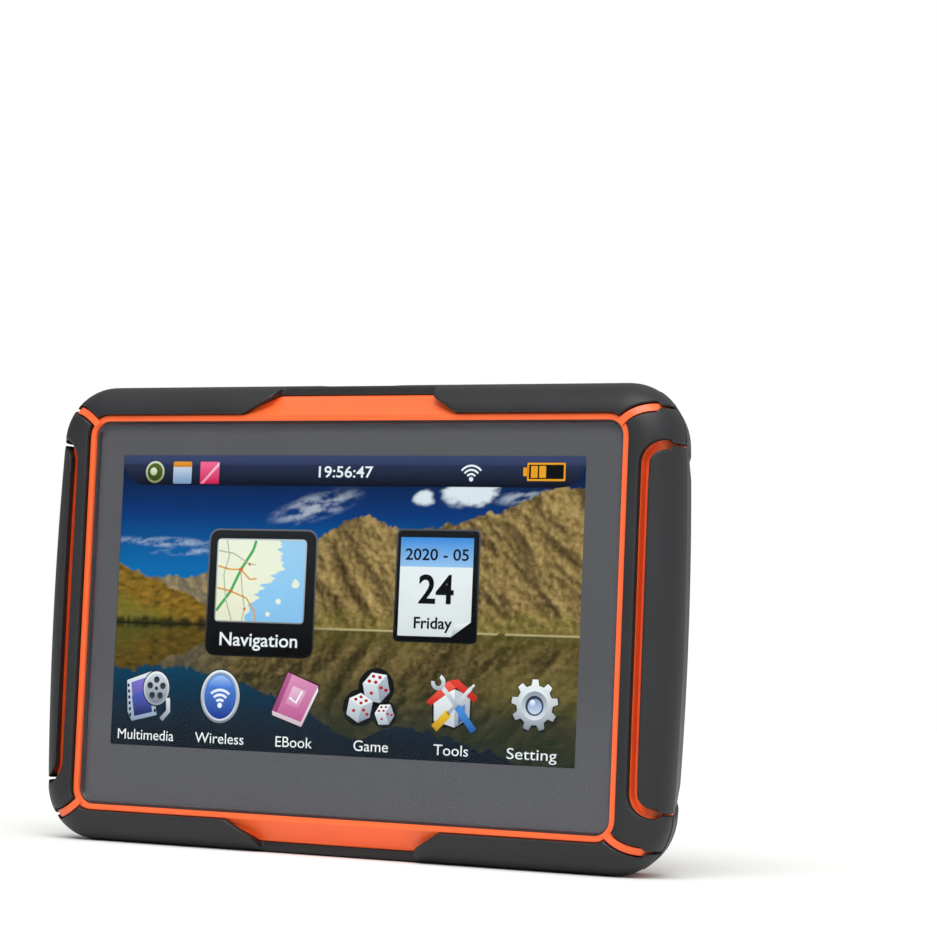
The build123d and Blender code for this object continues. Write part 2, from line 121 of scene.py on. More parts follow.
def blank(name):
    """A new material with its tree, its output and its object coordinates."""
    made = bpy.data.materials.new(name)
    made.use_nodes = True
    tree = made.node_tree
    tree.nodes.clear()
    out = add(tree, "ShaderNodeOutputMaterial")
    place = add(tree, "ShaderNodeTexCoord").outputs["Object"]
    return made, tree, out, place


def per(size):
    """Texture scale that makes one feature this many millimetres."""
    return 1 / (size * MM)


def link(name, mesh, body, slot, *replaced, material=None):
    """Puts a finished mesh in the scene as a piece on a body."""
    mesh.name = name
    piece = bpy.data.objects.new(name, mesh)
    bpy.context.scene.collection.objects.link(piece)
    if material:
        mesh.materials.clear()
        mesh.materials.append(material)
    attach(piece, body)
    if replaced:
        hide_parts(*replaced)
    return piece


def evaluated(piece):
    """A plain mesh of an object with its modifiers applied."""
    depsgraph = bpy.context.evaluated_depsgraph_get()
    return bpy.data.meshes.new_from_object(piece.evaluated_get(depsgraph), depsgraph=depsgraph)


def shown(name, data):
    """A working object in the scene."""
    piece = bpy.data.objects.new(name, data)
    bpy.context.scene.collection.objects.link(piece)
    return piece


def discard(piece):
    """Removes a working object with its mesh or curve."""
    data = piece.data
    bpy.data.objects.remove(piece)
    if isinstance(data, bpy.types.Mesh):
        bpy.data.meshes.remove(data)
    elif data:
        bpy.data.curves.remove(data)


def softened(node, name, body, slot, material, radius, sharp=38.0):
    """A merged copy of a CAD solid with its moulded edges rounded over."""
    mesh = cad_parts[node].data.copy()
    bm = bmesh.new()
    bm.from_mesh(mesh)
    bmesh.ops.remove_doubles(bm, verts=bm.verts, dist=MERGE_GAP)
    bmesh.ops.dissolve_degenerate(bm, edges=bm.edges, dist=MERGE_GAP)
    bmesh.ops.dissolve_limit(bm, angle_limit=radians(0.6), verts=bm.verts, edges=bm.edges)
    for face in bm.faces:
        face.smooth = True
    bm.to_mesh(mesh)
    bm.free()
    rough = shown(name + "_rough", mesh)
    bevel = rough.modifiers.new("edge", "BEVEL")
    bevel.width = radius
    bevel.segments = 3
    bevel.limit_method = "ANGLE"
    bevel.angle_limit = radians(sharp)
    bevel.miter_outer = "MITER_ARC"
    bevel.harden_normals = True
    final = evaluated(rough)
    discard(rough)
    return link(name, final, body, slot, node, material=material)


def cushioned(node, name, body, slot, material, voxel, rounds, keep):
    """A copy of a rubber solid, remeshed fine and smoothed so that every edge is well rounded."""
    rough = shown(name + "_rough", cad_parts[node].data.copy())
    rough.data.materials.clear()
    weld = rough.modifiers.new("weld", "WELD")
    weld.merge_threshold = MERGE_GAP
    remesh = rough.modifiers.new("voxels", "REMESH")
    remesh.mode = "VOXEL"
    remesh.voxel_size = voxel
    relax = rough.modifiers.new("round", "SMOOTH")
    relax.factor = 0.5
    relax.iterations = rounds
    thin = rough.modifiers.new("thin", "DECIMATE")
    thin.ratio = keep
    final = evaluated(rough)
    discard(rough)
    for face in final.polygons:
        face.use_smooth = True
    return link(name, final, body, slot, node, material=material)


# ---------------------------------------------------------------- finishes


def grained(name, dark, light, patch, grain, depth, rough, stretch=(1, 1, 1), metallic=0.0,
            coat=0.0, sheen=0.0, ior=1.5):
    """Cloudy colour between two shades in patches, roughness that wanders, a raised grain."""
    made, tree, out, place = blank(name)
    turned = add(tree, "ShaderNodeMapping", {"Vector": place, "Scale": stretch}).outputs[0]
    cloud = add(tree, "ShaderNodeTexNoise", {"Vector": turned, "Scale": per(patch), "Detail": 4.0})
    fine = add(tree, "ShaderNodeTexNoise", {"Vector": turned, "Scale": per(grain), "Detail": 2.0,
                                            "Roughness": 0.6})
    both = add(tree, "ShaderNodeMath", {0: cloud.outputs[0], 1: fine.outputs[0]}, operation="ADD")
    half = add(tree, "ShaderNodeMath", {0: both.outputs[0], 1: 0.5}, operation="MULTIPLY")
    tint = add(tree, "ShaderNodeValToRGB", {0: half.outputs[0]}, stops=[(0.36, dark), (0.64, light)])
    wander = add(tree, "ShaderNodeMapRange", {0: half.outputs[0], 1: 0.36, 2: 0.64,
                                              3: rough[0], 4: rough[1]})
    relief = add(tree, "ShaderNodeBump", {"Height": fine.outputs[0], "Distance": depth * MM,
                                          "Strength": 1.0})
    shader = add(tree, "ShaderNodeBsdfPrincipled", {
        "Base Color": tint.outputs[0], "Roughness": wander.outputs[0],
        "Normal": relief.outputs[0], "Metallic": metallic, "Coat Weight": coat,
        "Sheen Weight": sheen, "IOR": ior})
    tree.links.new(shader.outputs[0], out.inputs[0])
    return made


def shade(colour, factor):
    """A darker or lighter tone of a colour property, as RGBA."""
    return (*(min(1.0, channel * factor) for channel in colour), 1.0)


def orange_abs(colour):
    # ABS moulded in a spark-eroded tool: an even satin face, warm, slightly cloudy where thick.
    # The real grain is about 0.05 mm; it is drawn at 0.22 mm so that it shows.
    return grained("moulded_orange_abs", shade(colour, 0.93), shade(colour, 1.05),
                   9.0, 0.22, 0.004, (0.34, 0.46))


def black_tpu(colour):
    # Thermoplastic polyurethane moulded over the shells: matt with a dull sheen, faintly
    # dusty. The real tooth is about 0.08 mm, drawn at 0.3 mm.
    return grained("overmoulded_black_tpu", shade(colour, 0.8), shade(colour, 1.2),
                   11.0, 0.3, 0.007, (0.42, 0.56), ior=1.42)


def soft_touch(colour):
    # Glass-filled nylon cover under a soft-touch lacquer: flat, fine pebble, no highlight.
    return grained("soft_touch_rear_cover", shade(colour, 0.85), shade(colour, 1.15),
                   16.0, 0.38, 0.010, (0.56, 0.68))


def glass_pane():
    # Chemically strengthened soda-lime glass, 1.4 mm, polished, anti-glare coated: it is seen
    # only by its weak mirror image of the studio. Smears are a very light waviness.
    made, tree, out, place = blank("toughened_touch_glass")
    smear = add(tree, "ShaderNodeTexNoise", {"Vector": place, "Scale": per(24.0), "Detail": 3.0})
    dull = add(tree, "ShaderNodeMapRange", {0: smear.outputs[0], 3: 0.03, 4: 0.09})
    clear = add(tree, "ShaderNodeBsdfTransparent", {0: linear("#fbfdfd")})
    mirror = add(tree, "ShaderNodeBsdfGlossy", {0: linear("#f4f7ff"), "Roughness": dull.outputs[0]})
    facing = add(tree, "ShaderNodeFresnel", {"IOR": 1.19})
    mixed = add(tree, "ShaderNodeMixShader", {0: facing.outputs[0], 1: clear.outputs[0],
                                              2: mirror.outputs[0]})
    tree.links.new(mixed.outputs[0], out.inputs[0])
    return made


def printed_border(colour):
    # Ceramic ink screen-printed on the back of the glass: smooth, with the dots of the print
    # mesh just visible, drawn at 0.35 mm.
    made, tree, out, place = blank("screen_printed_ink")
    dots = add(tree, "ShaderNodeTexVoronoi", {"Vector": place, "Scale": per(0.35)})
    cloud = add(tree, "ShaderNodeTexNoise", {"Vector": place, "Scale": per(30.0), "Detail": 3.0})
    both = add(tree, "ShaderNodeMath", {0: dots.outputs["Distance"], 1: 0.04, 2: cloud.outputs[0]},
               operation="MULTIPLY_ADD")
    tint = add(tree, "ShaderNodeValToRGB", {0: both.outputs[0]},
               stops=[(0.3, shade(colour, 0.94)), (0.75, shade(colour, 1.06))])
    shader = add(tree, "ShaderNodeBsdfPrincipled", {
        "Base Color": tint.outputs[0], "Roughness": 0.5, "Specular IOR Level": 0.2})
    tree.links.new(shader.outputs[0], out.inputs[0])
    return made


def lcd_picture(pitch):
    # Liquid crystal panel under a polariser: the colours come from the painted attribute,
    # crossed by the dark lines between its dots.
    made, tree, out, place = blank("lcd_picture")
    tint = add(tree, "ShaderNodeAttribute", attribute_name="tint")
    upright = add(tree, "ShaderNodeMapping", {"Vector": place, "Rotation": (radians(-90), 0, 0)})
    lines = add(tree, "ShaderNodeTexBrick", {
        "Vector": upright.outputs[0], "Color1": (1, 1, 1, 1), "Color2": (0.98, 0.98, 0.98, 1),
        "Mortar": (0.8, 0.8, 0.8, 1), "Scale": 1.0, "Mortar Size": 0.08 * pitch * MM,
        "Brick Width": pitch * MM, "Row Height": pitch * MM}, offset=0.0)
    grid = add(tree, "ShaderNodeMix", {0: 1.0, 6: tint.outputs["Color"], 7: lines.outputs[0]},
               data_type="RGBA", blend_type="MULTIPLY")
    shader = add(tree, "ShaderNodeBsdfPrincipled", {
        "Base Color": grid.outputs[2], "Roughness": 0.5, "Specular IOR Level": 0.0,
        "Emission Color": grid.outputs[2], "Emission Strength": 0.12})
    tree.links.new(shader.outputs[0], out.inputs[0])
    return made


def brushed_steel(name, dark, light):
    # Cold-rolled sheet, pressed and plated: fine lines along the strip, 0.15 mm apart.
    return grained(name, linear(dark), linear(light), 7.0, 0.15, 0.003, (0.28, 0.42),
                   stretch=(0.04, 1, 1), metallic=1.0)


def inside_finishes():
    """Finishes of the parts that the closed case hides, by the record's slot."""
    return {
        "steel": brushed_steel("plated_sheet_steel", "#a8a8ac", "#cfcfd2"),
        # Case screws: alloy steel, black oxide, oily grey where it is thin.
        "dark_steel": grained("black_oxide_steel", linear("#2b2b2e"), linear("#46464a"), 2.0, 0.12,
                              0.004, (0.34, 0.5), metallic=1.0),
        # Circuit board: glass epoxy under green solder mask, its copper pattern just raised.
        "circuit_board": grained("green_solder_mask", linear("#0d4423"), linear("#17623a"), 3.0,
                                 0.6, 0.02, (0.25, 0.4), coat=0.3),
        # Flat cable: amber polyimide over copper tracks that run its whole length.
        "flex_film": grained("polyimide_ribbon", linear("#8c4a12"), linear("#c47a24"), 1.2, 0.3,
                             0.01, (0.2, 0.32), stretch=(1, 0.05, 0.05), coat=0.4),
        # Seals: compression-moulded silicone, dull, with a trace of talc.
        "seal": grained("moulded_silicone", linear("#161617"), linear("#262627"), 5.0, 0.25, 0.006,
                        (0.6, 0.75)),
        # Patch antenna and receiver ceramics: fired, unglazed, fine grained.
        "ceramic": grained("fired_ceramic", linear("#c9c1b0"), linear("#ddd6c8"), 4.0, 0.2, 0.008,
                           (0.5, 0.65)),
        # Battery pouch: aluminium laminate, wrinkled by the vacuum that closed it.
        "battery_foil": grained("pouch_foil", linear("#9c9da2"), linear("#c6c7cb"), 9.0, 3.0, 0.08,
                                (0.3, 0.45), metallic=0.7),
        "socket_plastic": grained("moulded_nylon", linear("#d5cfbb"), linear("#e6e1d2"), 5.0, 0.2,
                                  0.005, (0.4, 0.55)),
        # Battery leads: red PVC, extruded.
        "lead": grained("extruded_pvc", linear("#8f1715"), linear("#b3241f"), 4.0, 0.2, 0.004,
                        (0.3, 0.4)),
        "display": grained("polariser_film", linear("#070b12"), linear("#0d131d"), 20.0, 0.4, 0.002,
                           (0.12, 0.2)),
        "brass": turned_brass(),
        "gold_contacts": gold_flash(),
    }


def turned_brass():
    # Free-cutting brass, turned: bright yellow with rings left by the tool 0.1 mm apart.
    return grained("turned_brass", linear("#b98a3c"), linear("#e3bd6c"), 1.5, 0.1, 0.005,
                   (0.2, 0.34), metallic=1.0)


def gold_flash():
    # Hard gold over nickel on turned pins: warm, satin, brighter where it is worn.
    return grained("gold_flashed_pin", linear("#e0a046"), linear("#f7cf7e"), 1.2, 0.12, 0.004,
                   (0.24, 0.36), metallic=1.0)


def plug_rubber():
    # Silicone plugs pressed over the screws: grey-black, matt, slightly worn on the rim.
    return grained("silicone_plug", linear("#2f3033"), linear("#45464a"), 1.6, 0.2, 0.01,
                   (0.55, 0.7))


def acoustic_mesh():
    # Polyester monofilament woven over the speaker, threads drawn at 0.3 mm, wine red; the gaps
    # between the threads carry painted shade.
    made, tree, out, place = blank("woven_acoustic_mesh")
    height = None
    for direction in ("X", "Z"):
        wave = add(tree, "ShaderNodeTexWave", {"Vector": place, "Scale": per(0.3) / 20},
                   bands_direction=direction).outputs["Fac"]
        height = wave if height is None else add(
            tree, "ShaderNodeMath", {0: height, 1: wave}, operation="MAXIMUM").outputs[0]
    # Painted shade: the colour runs from near black where the weave dips between threads to wine red
    # on the raised threads.
    tint = add(tree, "ShaderNodeValToRGB", {0: height},
               stops=[(0.2, linear("#1a0606")), (0.9, linear("#5a2018"))])
    relief = add(tree, "ShaderNodeBump", {"Height": height, "Distance": 0.05 * MM})
    shader = add(tree, "ShaderNodeBsdfPrincipled", {"Base Color": tint.outputs[0],
                                                    "Roughness": 0.6,
                                                    "Normal": relief.outputs[0]})
    tree.links.new(shader.outputs[0], out.inputs[0])
    return made


def studio_floor(colour):
    # Seamless background paper: white, matt, with a trace of fibre.
    return grained("background_paper", shade(colour, 0.985), shade(colour, 1.0), 60.0, 1.5, 0.01,
                   (0.8, 0.9))


# ---------------------------------------------------------------- screen drawing


class Sheet:
    """Flat coloured leaves drawn on the screen, in millimetres from its middle."""

    def __init__(self):
        self.verts, self.faces, self.tints = [], [], []

    def leaf(self, outline, layer, top, foot=None):
        """A thin filled shape whose colour runs from top down to foot."""
        top = linear(top)
        foot = linear(foot) if foot else top
        low = min(v for _, v in outline)
        high = max(v for _, v in outline)
        first, count = len(self.verts), len(outline)
        area = sum(a[0] * b[1] - b[0] * a[1] for a, b in zip(outline, outline[1:] + outline[:1]))
        if area < 0:
            outline = outline[::-1]
        face = FILM_FACE - LEAF_GAP - layer * LEAF_STEP
        for y in (face, face + LEAF_THICK):
            for u, v in outline:
                self.verts.append((SCREEN_X + u * MM, y, SCREEN_Z + v * MM))
                self.tints.append(blend(foot, top, (v - low) / (high - low or 1.0)))
        front = list(range(first, first + count))
        back = [i + count for i in front]
        self.faces.append(front)
        self.faces.append(back[::-1])
        for i in range(count):
            j = (i + 1) % count
            self.faces.append((front[j], front[i], back[i], back[j]))

    def words(self, text, u, v, width, height, layer, tone, weight=0.012):
        """Flat lettering set centred at u with its feet at v, stretched to a width."""
        curve = bpy.data.curves.new("words", "FONT")
        curve.body = text
        curve.resolution_u = 4
        curve.offset = weight
        flat = shown("words", curve)
        mesh = evaluated(flat)
        discard(flat)
        bm = bmesh.new()
        bm.from_mesh(mesh)
        bmesh.ops.remove_doubles(bm, verts=bm.verts, dist=1e-5)
        bpy.data.meshes.remove(mesh)
        low = min(p.co.x for p in bm.verts)
        wide = max(p.co.x for p in bm.verts) - low
        face = FILM_FACE - LEAF_GAP - layer * LEAF_STEP
        count = len(bm.verts)
        first = len(self.verts)
        for y in (face, face + LEAF_THICK):
            for point in bm.verts:
                across = (point.co.x - low - 0.5 * wide) * width / wide
                up = point.co.y * height / CAPITAL_HEIGHT
                self.verts.append((SCREEN_X + (u + across) * MM, y, SCREEN_Z + (v + up) * MM))
                self.tints.append(linear(tone))
        bm.verts.index_update()
        for polygon in bm.faces:
            ids = [first + p.index for p in polygon.verts]
            if polygon.normal.z < 0:
                ids.reverse()
            self.faces.append(ids)
            self.faces.append([i + count for i in reversed(ids)])
        for edge in bm.edges:
            if len(edge.link_faces) == 1:
                loop = edge.link_loops[0]
                a, b = first + loop.vert.index, first + loop.link_loop_next.vert.index
                if edge.link_faces[0].normal.z < 0:
                    a, b = b, a
                self.faces.append((b, a, a + count, b + count))
        bm.free()

    def piece(self, name, material):
        mesh = bpy.data.meshes.new(name)
        mesh.from_pydata(self.verts, [], self.faces)
        paint = mesh.color_attributes.new("tint", "FLOAT_COLOR", "POINT")
        paint.data.foreach_set("color", [c for tint in self.tints for c in tint])
        return link(name, mesh, "case", "display", material=material)


def moved(outline, u=0.0, v=0.0, turn=0.0, size=1.0, squash=1.0):
    """An outline turned, scaled and then placed."""
    c, s = cos(radians(turn)), sin(radians(turn))
    return [(u + size * (x * c - y * s), v + size * squash * (x * s + y * c)) for x, y in outline]


def round_box(wide, tall, corner, steps=5):
    """A rectangle with rounded corners."""
    points = []
    for cx, cy, start in ((1, 1, 0), (-1, 1, 90), (-1, -1, 180), (1, -1, 270)):
        for i in range(steps + 1):
            a = radians(start + 90 * i / steps)
            points.append((cx * (wide / 2 - corner) + corner * cos(a),
                           cy * (tall / 2 - corner) + corner * sin(a)))
    return points


def disc(radius, steps=28, start=0.0, sweep=360.0):
    """Points round a circle or along an arc."""
    closed = sweep >= 360
    count = steps if closed else steps + 1
    return [(radius * cos(radians(start + sweep * i / steps)),
             radius * sin(radians(start + sweep * i / steps))) for i in range(count)]


def band(radius, width, start, sweep, steps=14):
    """Part of a ring."""
    outer = disc(radius + width / 2, steps, start, sweep)
    inner = disc(radius - width / 2, steps, start, sweep)
    return outer + inner[::-1]


def stroke(points, width):
    """A bent strip of one width along a few points."""
    left, right = [], []
    for i, (x, y) in enumerate(points):
        before = Vector(points[max(i - 1, 0)])
        after = Vector(points[min(i + 1, len(points) - 1)])
        along = (after - before).normalized()
        left.append((x - along.y * width / 2, y + along.x * width / 2))
        right.append((x + along.y * width / 2, y - along.x * width / 2))
    return left + right[::-1]


def gear(teeth, root, tip):
    """Outline of a toothed wheel."""
    points = []
    for i in range(teeth):
        for share, radius in ((-0.30, root), (-0.17, tip), (0.17, tip), (0.30, root)):
            a = tau * (i + share) / teeth
            points.append((radius * cos(a), radius * sin(a)))
    return points


# ---------------------------------------------------------------- wallpaper

SKY_TOP, SKY_MIDDLE, SKY_FOOT = linear("#0a1d42"), linear("#04387a"), linear("#086fb2")
WATERLINE = -4.1


def ridge_height(u):
    """Height of the skyline: low hills on the left, rising to peaks on the right."""
    rise = blend(4.6, 9.4, smooth(-36, -6, u)) + 6.2 * smooth(-10, 3, u)
    rise += 5.6 * smooth(22, 46, u) - 1.6 * smooth(4, 13, u) * smooth(30, 18, u)
    rise += 1.5 * noise.noise((0.13 * u, 3.7, 0.0)) + 0.8 * noise.noise((0.5 * u, 9.1, 0.0))
    return rise + 0.35 * noise.noise((1.9 * u, 5.5, 0.0))


def near_hill(u):
    """Top of the warmer hill that runs down to the shore on the left."""
    return 6.4 - 0.34 * (u + 47.5) + 1.0 * noise.noise((0.22 * u, 1.9, 2.0))


def slope_light(u, v, spot, coarse):
    """How far a folded slope faces the sun, from 0 in shadow to 1."""
    def fold(a, b):
        return noise.ridged_multi_fractal(Vector((coarse * (a + 0.62 * b), 0.82 * coarse * b,
                                                  spot)), 0.72, 2.2, 8, 1.0, 2.1)
    return smooth(-0.30, 0.34, fold(u, v) - fold(u + 0.55, v + 0.35))


def rock(u, v, top):
    """Lit and shaded slopes of the mountains, greener towards the shore."""
    grit = 0.5 + 0.5 * noise.fractal(Vector((0.9 * u, 1.1 * v, 7.0)), 0.6, 2.2, 4)
    light = 0.62 * slope_light(u, v, 4.2, 0.075) + 0.38 * slope_light(u, v, 9.4, 0.028)
    lit = blend(linear("#8d7038"), linear("#d8b777"), grit)
    dark = blend(linear("#1d130a"), linear("#4a371d"), grit)
    tone = blend(dark, lit, light)
    low = smooth(WATERLINE + 5.5, WATERLINE - 0.5, v + 1.6 * noise.noise((0.3 * u, 0.4 * v, 3.0)))
    tone = blend(tone, blend(linear("#4d4f1c"), linear("#9a8a3e"), grit), 0.6 * low)
    return blend(tone, linear("#8f8d86"), 0.3 * smooth(-20, -30, u))


def meadow(u, v, hill):
    """The grassy hill by the shore, ochre on top and darker at its foot."""
    grit = 0.5 + 0.5 * noise.fractal(Vector((0.5 * u, 1.4 * v, 11.0)), 0.6, 2.1, 5)
    tone = blend(linear("#4c3b10"), linear("#a9802a"), grit)
    tone = blend(tone, linear("#6d742e"), 0.6 * smooth(hill - 3.0, hill - 8.0, v))
    trees = smooth(WATERLINE + 1.3, WATERLINE + 0.2, v + 0.8 * noise.noise((1.3 * u, 0.0, 2.5)))
    return blend(tone, linear("#10150a"), 0.85 * trees)


def cloud(u, v):
    """Cover of cloud from 0 to 1: one white bank, a puff, and wisps drawn out by the wind."""
    soft = noise.fractal(Vector((0.30 * u, 0.5 * v, 1.0)), 0.8, 2.0, 6)
    cover = 0.0
    for cu, cv, ru, rv in ((25.2, 20.0, 6.2, 2.3), (16.2, 19.4, 2.2, 1.5), (27.5, 21.6, 3.4, 1.5)):
        away = ((u - cu) / ru) ** 2 + ((v - cv) / rv) ** 2
        cover = max(cover, smooth(1.2, 0.3, away - 0.7 * soft))
    for cu, cv, ru, rv, lean in ((-6.0, 17.6, 9.5, 2.6, 0.24), (-37.5, 10.8, 12.0, 1.0, -0.03),
                                 (-33.0, 9.0, 8.0, 0.7, 0.02), (36.0, 19.6, 6.0, 1.5, 0.1)):
        away = ((u - cu) / ru) ** 2 + ((v - cv - lean * (u - cu)) / rv) ** 2
        streak = noise.fractal(Vector((0.20 * u + 0.16 * v, 0.75 * v - 0.16 * u, 6.0)), 0.6, 2.3, 7)
        cover = max(cover, 0.55 * smooth(1.3, 0.0, away) * smooth(-0.35, 0.8, streak + 0.15))
    return cover


def landscape(u, v):
    """Colour of the wallpaper at one place: sky, mountains and a lake that mirrors them."""
    top = ridge_height(u)
    if v > max(top, near_hill(u)):
        tone = blend(SKY_FOOT, SKY_MIDDLE, smooth(3.0, 18.0, v))
        tone = blend(tone, SKY_TOP, smooth(14.0, 25.0, v))
        return blend(tone, linear("#e4ebf0"), cloud(u, v))
    if v > WATERLINE:
        hill = near_hill(u)
        return meadow(u, v, hill) if v < hill else rock(u, v, top)
    shore = WATERLINE - 0.35 - 0.25 * noise.noise((0.2 * u, 0.0, 1.0))
    if v > shore:
        return blend(linear("#c9b98a"), linear("#15180b"), smooth(2, -16, u))
    wobble = 0.45 * noise.noise((0.5 * u, 2.4 * v, 8.0))
    mirrored = 2 * WATERLINE - v + wobble
    deep = smooth(WATERLINE - 4, -SCREEN_HALF_V, v)
    ripple = 0.5 + 0.5 * noise.fractal(Vector((0.10 * u, 1.6 * v, 13.0)), 0.7, 2.2, 4)
    if mirrored < top - 0.4:
        hill = near_hill(u)
        tone = meadow(u, mirrored, hill) if mirrored < hill else rock(u + wobble, mirrored, top)
        tone = blend(tone, linear("#3c3a10"), 0.35)
        tone = blend(tone, linear("#0c3a22"), 0.75 * deep)
    else:
        tone = blend(linear("#0d5377"), linear("#061a33"), deep)
    tone = blend(tone, linear("#050c0c"), 0.18 + 0.38 * deep + 0.22 * ripple)
    golden = smooth(24, 40, u) * smooth(-9, -13, v) * smooth(-20, -14, v)
    return blend(tone, linear("#8f8440"), 0.55 * golden * ripple)


def wallpaper_mesh(cell):
    """A closed thin sheet whose front is a grid, painted point by point."""
    across = round(2 * SCREEN_HALF_U / cell)
    up = round(2 * SCREEN_HALF_V / cell)
    verts, tints = [], []
    front = FILM_FACE - PICTURE_GAP
    for j in range(up + 1):
        v = SCREEN_HALF_V * (2 * j / up - 1)
        for i in range(across + 1):
            u = SCREEN_HALF_U * (2 * i / across - 1)
            verts.append((SCREEN_X + u * MM, front, SCREEN_Z + v * MM))
            tints.append(landscape(u, v))
    row = across + 1
    faces = [(j * row + i, j * row + i + 1, (j + 1) * row + i + 1, (j + 1) * row + i)
             for j in range(up) for i in range(across)]
    rim = [i for i in range(row)] + [(j + 1) * row - 1 for j in range(1, up + 1)]
    rim += [up * row + i for i in range(row - 2, -1, -1)] + [j * row for j in range(up - 1, 0, -1)]
    first = len(verts)
    for i in rim:
        x, _, z = verts[i]
        verts.append((x, front + LEAF_THICK, z))
        tints.append(tints[i])
    count = len(rim)
    for i in range(count):
        j = (i + 1) % count
        faces.append((rim[j], rim[i], first + i, first + j))
    faces.append([first + i for i in range(count)][::-1])
    mesh = bpy.data.meshes.new("wallpaper")
    mesh.from_pydata(verts, [], faces)
    paint = mesh.color_attributes.new("tint", "FLOAT_COLOR", "POINT")
    paint.data.foreach_set("color", [c for tint in tints for c in tint])
    return mesh


# ---------------------------------------------------------------- sizes and colours


def colour_property(name, description, code):
    return FloatVectorProperty(name=name, description=description, subtype="COLOR", size=3,
                               min=0.0, max=1.0, default=linear(code)[:3])


def size_property(name, description, millimetres):
    return FloatProperty(name=name, description=description, unit="LENGTH", subtype="DISTANCE",
                         min=0.0, precision=5, default=millimetres * MM)


class CaseSettings(bpy.types.PropertyGroup):
    """Finish of the case and its overmoulded pads."""

    rubber_voxel: size_property("Rubber step", "Fineness of the rounded rubber", 0.2)
    rubber_rounds: IntProperty(name="Rubber rounding", description="Passes that round the rubber",
                               min=0, default=22)
    cover_round: size_property("Port cover edge", "Rounding on the port cover", 0.17)
    shell_round: size_property("Shell edge", "Rounding on the edges of the hard shells", 0.16)
    orange: colour_property("Shell colour", "Orange of the hard shells", "#f2632c")
    rubber: colour_property("Rubber colour", "Black of the overmoulded rubber", "#1d1e20")
    cover: colour_property("Cover colour", "Soft-touch black of the back", "#2b2c2f")


class FixingSettings(bpy.types.PropertyGroup):
    """Plugs, contacts and the mounting thread on the back."""

    corner_half_x: size_property("Corner plugs across", "From the middle to a corner plug", 49.8)
    row_half_x: size_property("Row plugs across", "From the middle to a plug on a long side", 15.1)
    row_half_z: size_property("Plugs up", "From the middle to the plugs on the long sides", 38.0)
    end_x: size_property("End plugs across", "From the middle to the end plugs", 55.0)
    end_half_z: size_property("End plugs up", "From the middle to an end plug", 15.1)
    plug_round: size_property("Plug radius", "Radius of a screw plug", 1.49)
    plug_long: size_property("Plug length", "Length of a screw plug", 1.5)
    contact_count: IntProperty(name="Contacts", description="Number of charging contacts",
                               min=1, default=5)
    contact_pitch: size_property("Contact pitch", "From one contact to the next", 3.5)
    contact_round: size_property("Contact radius", "Radius of a contact", 1.0)
    thread_round: size_property("Thread radius", "Inside radius of the mounting thread", 1.25)
    thread_pitch: size_property("Thread pitch", "Rise of one turn of the thread", 0.5)
    thread_turns: FloatProperty(name="Turns", description="Turns of the thread", min=1.0,
                                default=8.0)


class ScreenSettings(bpy.types.PropertyGroup):
    """The glass, its printed border and what the screen shows."""

    border: colour_property("Border colour", "Ink printed behind the glass", "#5f5d61")
    dot: size_property("Dot pitch", "Spacing of the screen's dots", 0.198)
    cell: size_property("Picture cell", "Step of the painted wallpaper", 0.29)


class StudioSettings(bpy.types.PropertyGroup):
    """Floor, lights and camera."""

    floor_half: size_property("Floor", "Half the width of the floor", 3000.0)
    paper: colour_property("Paper colour", "White of the background paper", "#ebebe9")
    world_strength: FloatProperty(name="Fill", description="Light from all around", min=0.0,
                                  default=0.55)
    sun_strength: FloatProperty(name="Key", description="Broad light from above", min=0.0,
                                default=2.7)
    lens: FloatProperty(name="Lens", description="Focal length on a 36 mm sensor",
                        unit="CAMERA", min=1.0, default=114.6)
    camera_place: FloatVectorProperty(name="Camera place", description="Where the camera stands",
                                      subtype="TRANSLATION", unit="LENGTH", precision=5,
                                      default=(0.26078, -0.47601, 0.03114))
    camera_turn: FloatVectorProperty(name="Camera turn", description="How the camera is turned",
                                     subtype="EULER", unit="ROTATION",
                                     default=(radians(94.2067), radians(-2.3537),
                                              radians(26.6984)))


# ---------------------------------------------------------------- pieces


def grown(name, material, inputs, fill):
    """Runs a geometry tree: inputs are (name, socket type, value); fill adds its nodes."""
    tree = bpy.data.node_groups.new(name, "GeometryNodeTree")
    tree.interface.new_socket("Geometry", in_out="OUTPUT", socket_type="NodeSocketGeometry")
    sockets = [tree.interface.new_socket(label, in_out="INPUT", socket_type=kind)
               for label, kind, _ in inputs]
    source = add(tree, "NodeGroupInput")
    points = fill(tree, {label: source.outputs[label] for label, _, _ in inputs})
    real = add(tree, "GeometryNodeRealizeInstances", {0: points})
    coated = add(tree, "GeometryNodeSetMaterial", {0: real.outputs[0], "Material": material})
    add(tree, "NodeGroupOutput", {0: coated.outputs[0]})
    carrier = shown(name + "_points", bpy.data.meshes.new(name + "_points"))
    modifier = carrier.modifiers.new(name, "NODES")
    modifier.node_group = tree
    for socket, (_, _, value) in zip(sockets, inputs):
        modifier[socket.identifier] = value
    mesh = evaluated(carrier)
    discard(carrier)
    return mesh


def turned_profile(name, profile, steps=32):
    """A solid turned about Y from (radius, y) points in metres, closed at both ends."""
    bm = bmesh.new()
    rings = []
    for radius, y in profile:
        if radius < 1e-7:
            rings.append([bm.verts.new((0, y, 0))])
        else:
            rings.append([bm.verts.new((radius * cos(tau * i / steps), y,
                                        radius * sin(tau * i / steps))) for i in range(steps)])
    for a, b in zip(rings, rings[1:]):
        for i in range(steps):
            j = (i + 1) % steps
            corners = [a[i % len(a)], a[j % len(a)], b[j % len(b)], b[i % len(b)]]
            bm.faces.new(list(dict.fromkeys(corners)))
    bmesh.ops.recalc_face_normals(bm, faces=bm.faces)
    for face in bm.faces:
        face.smooth = True
    mesh = bpy.data.meshes.new(name)
    bm.to_mesh(mesh)
    bm.free()
    return mesh


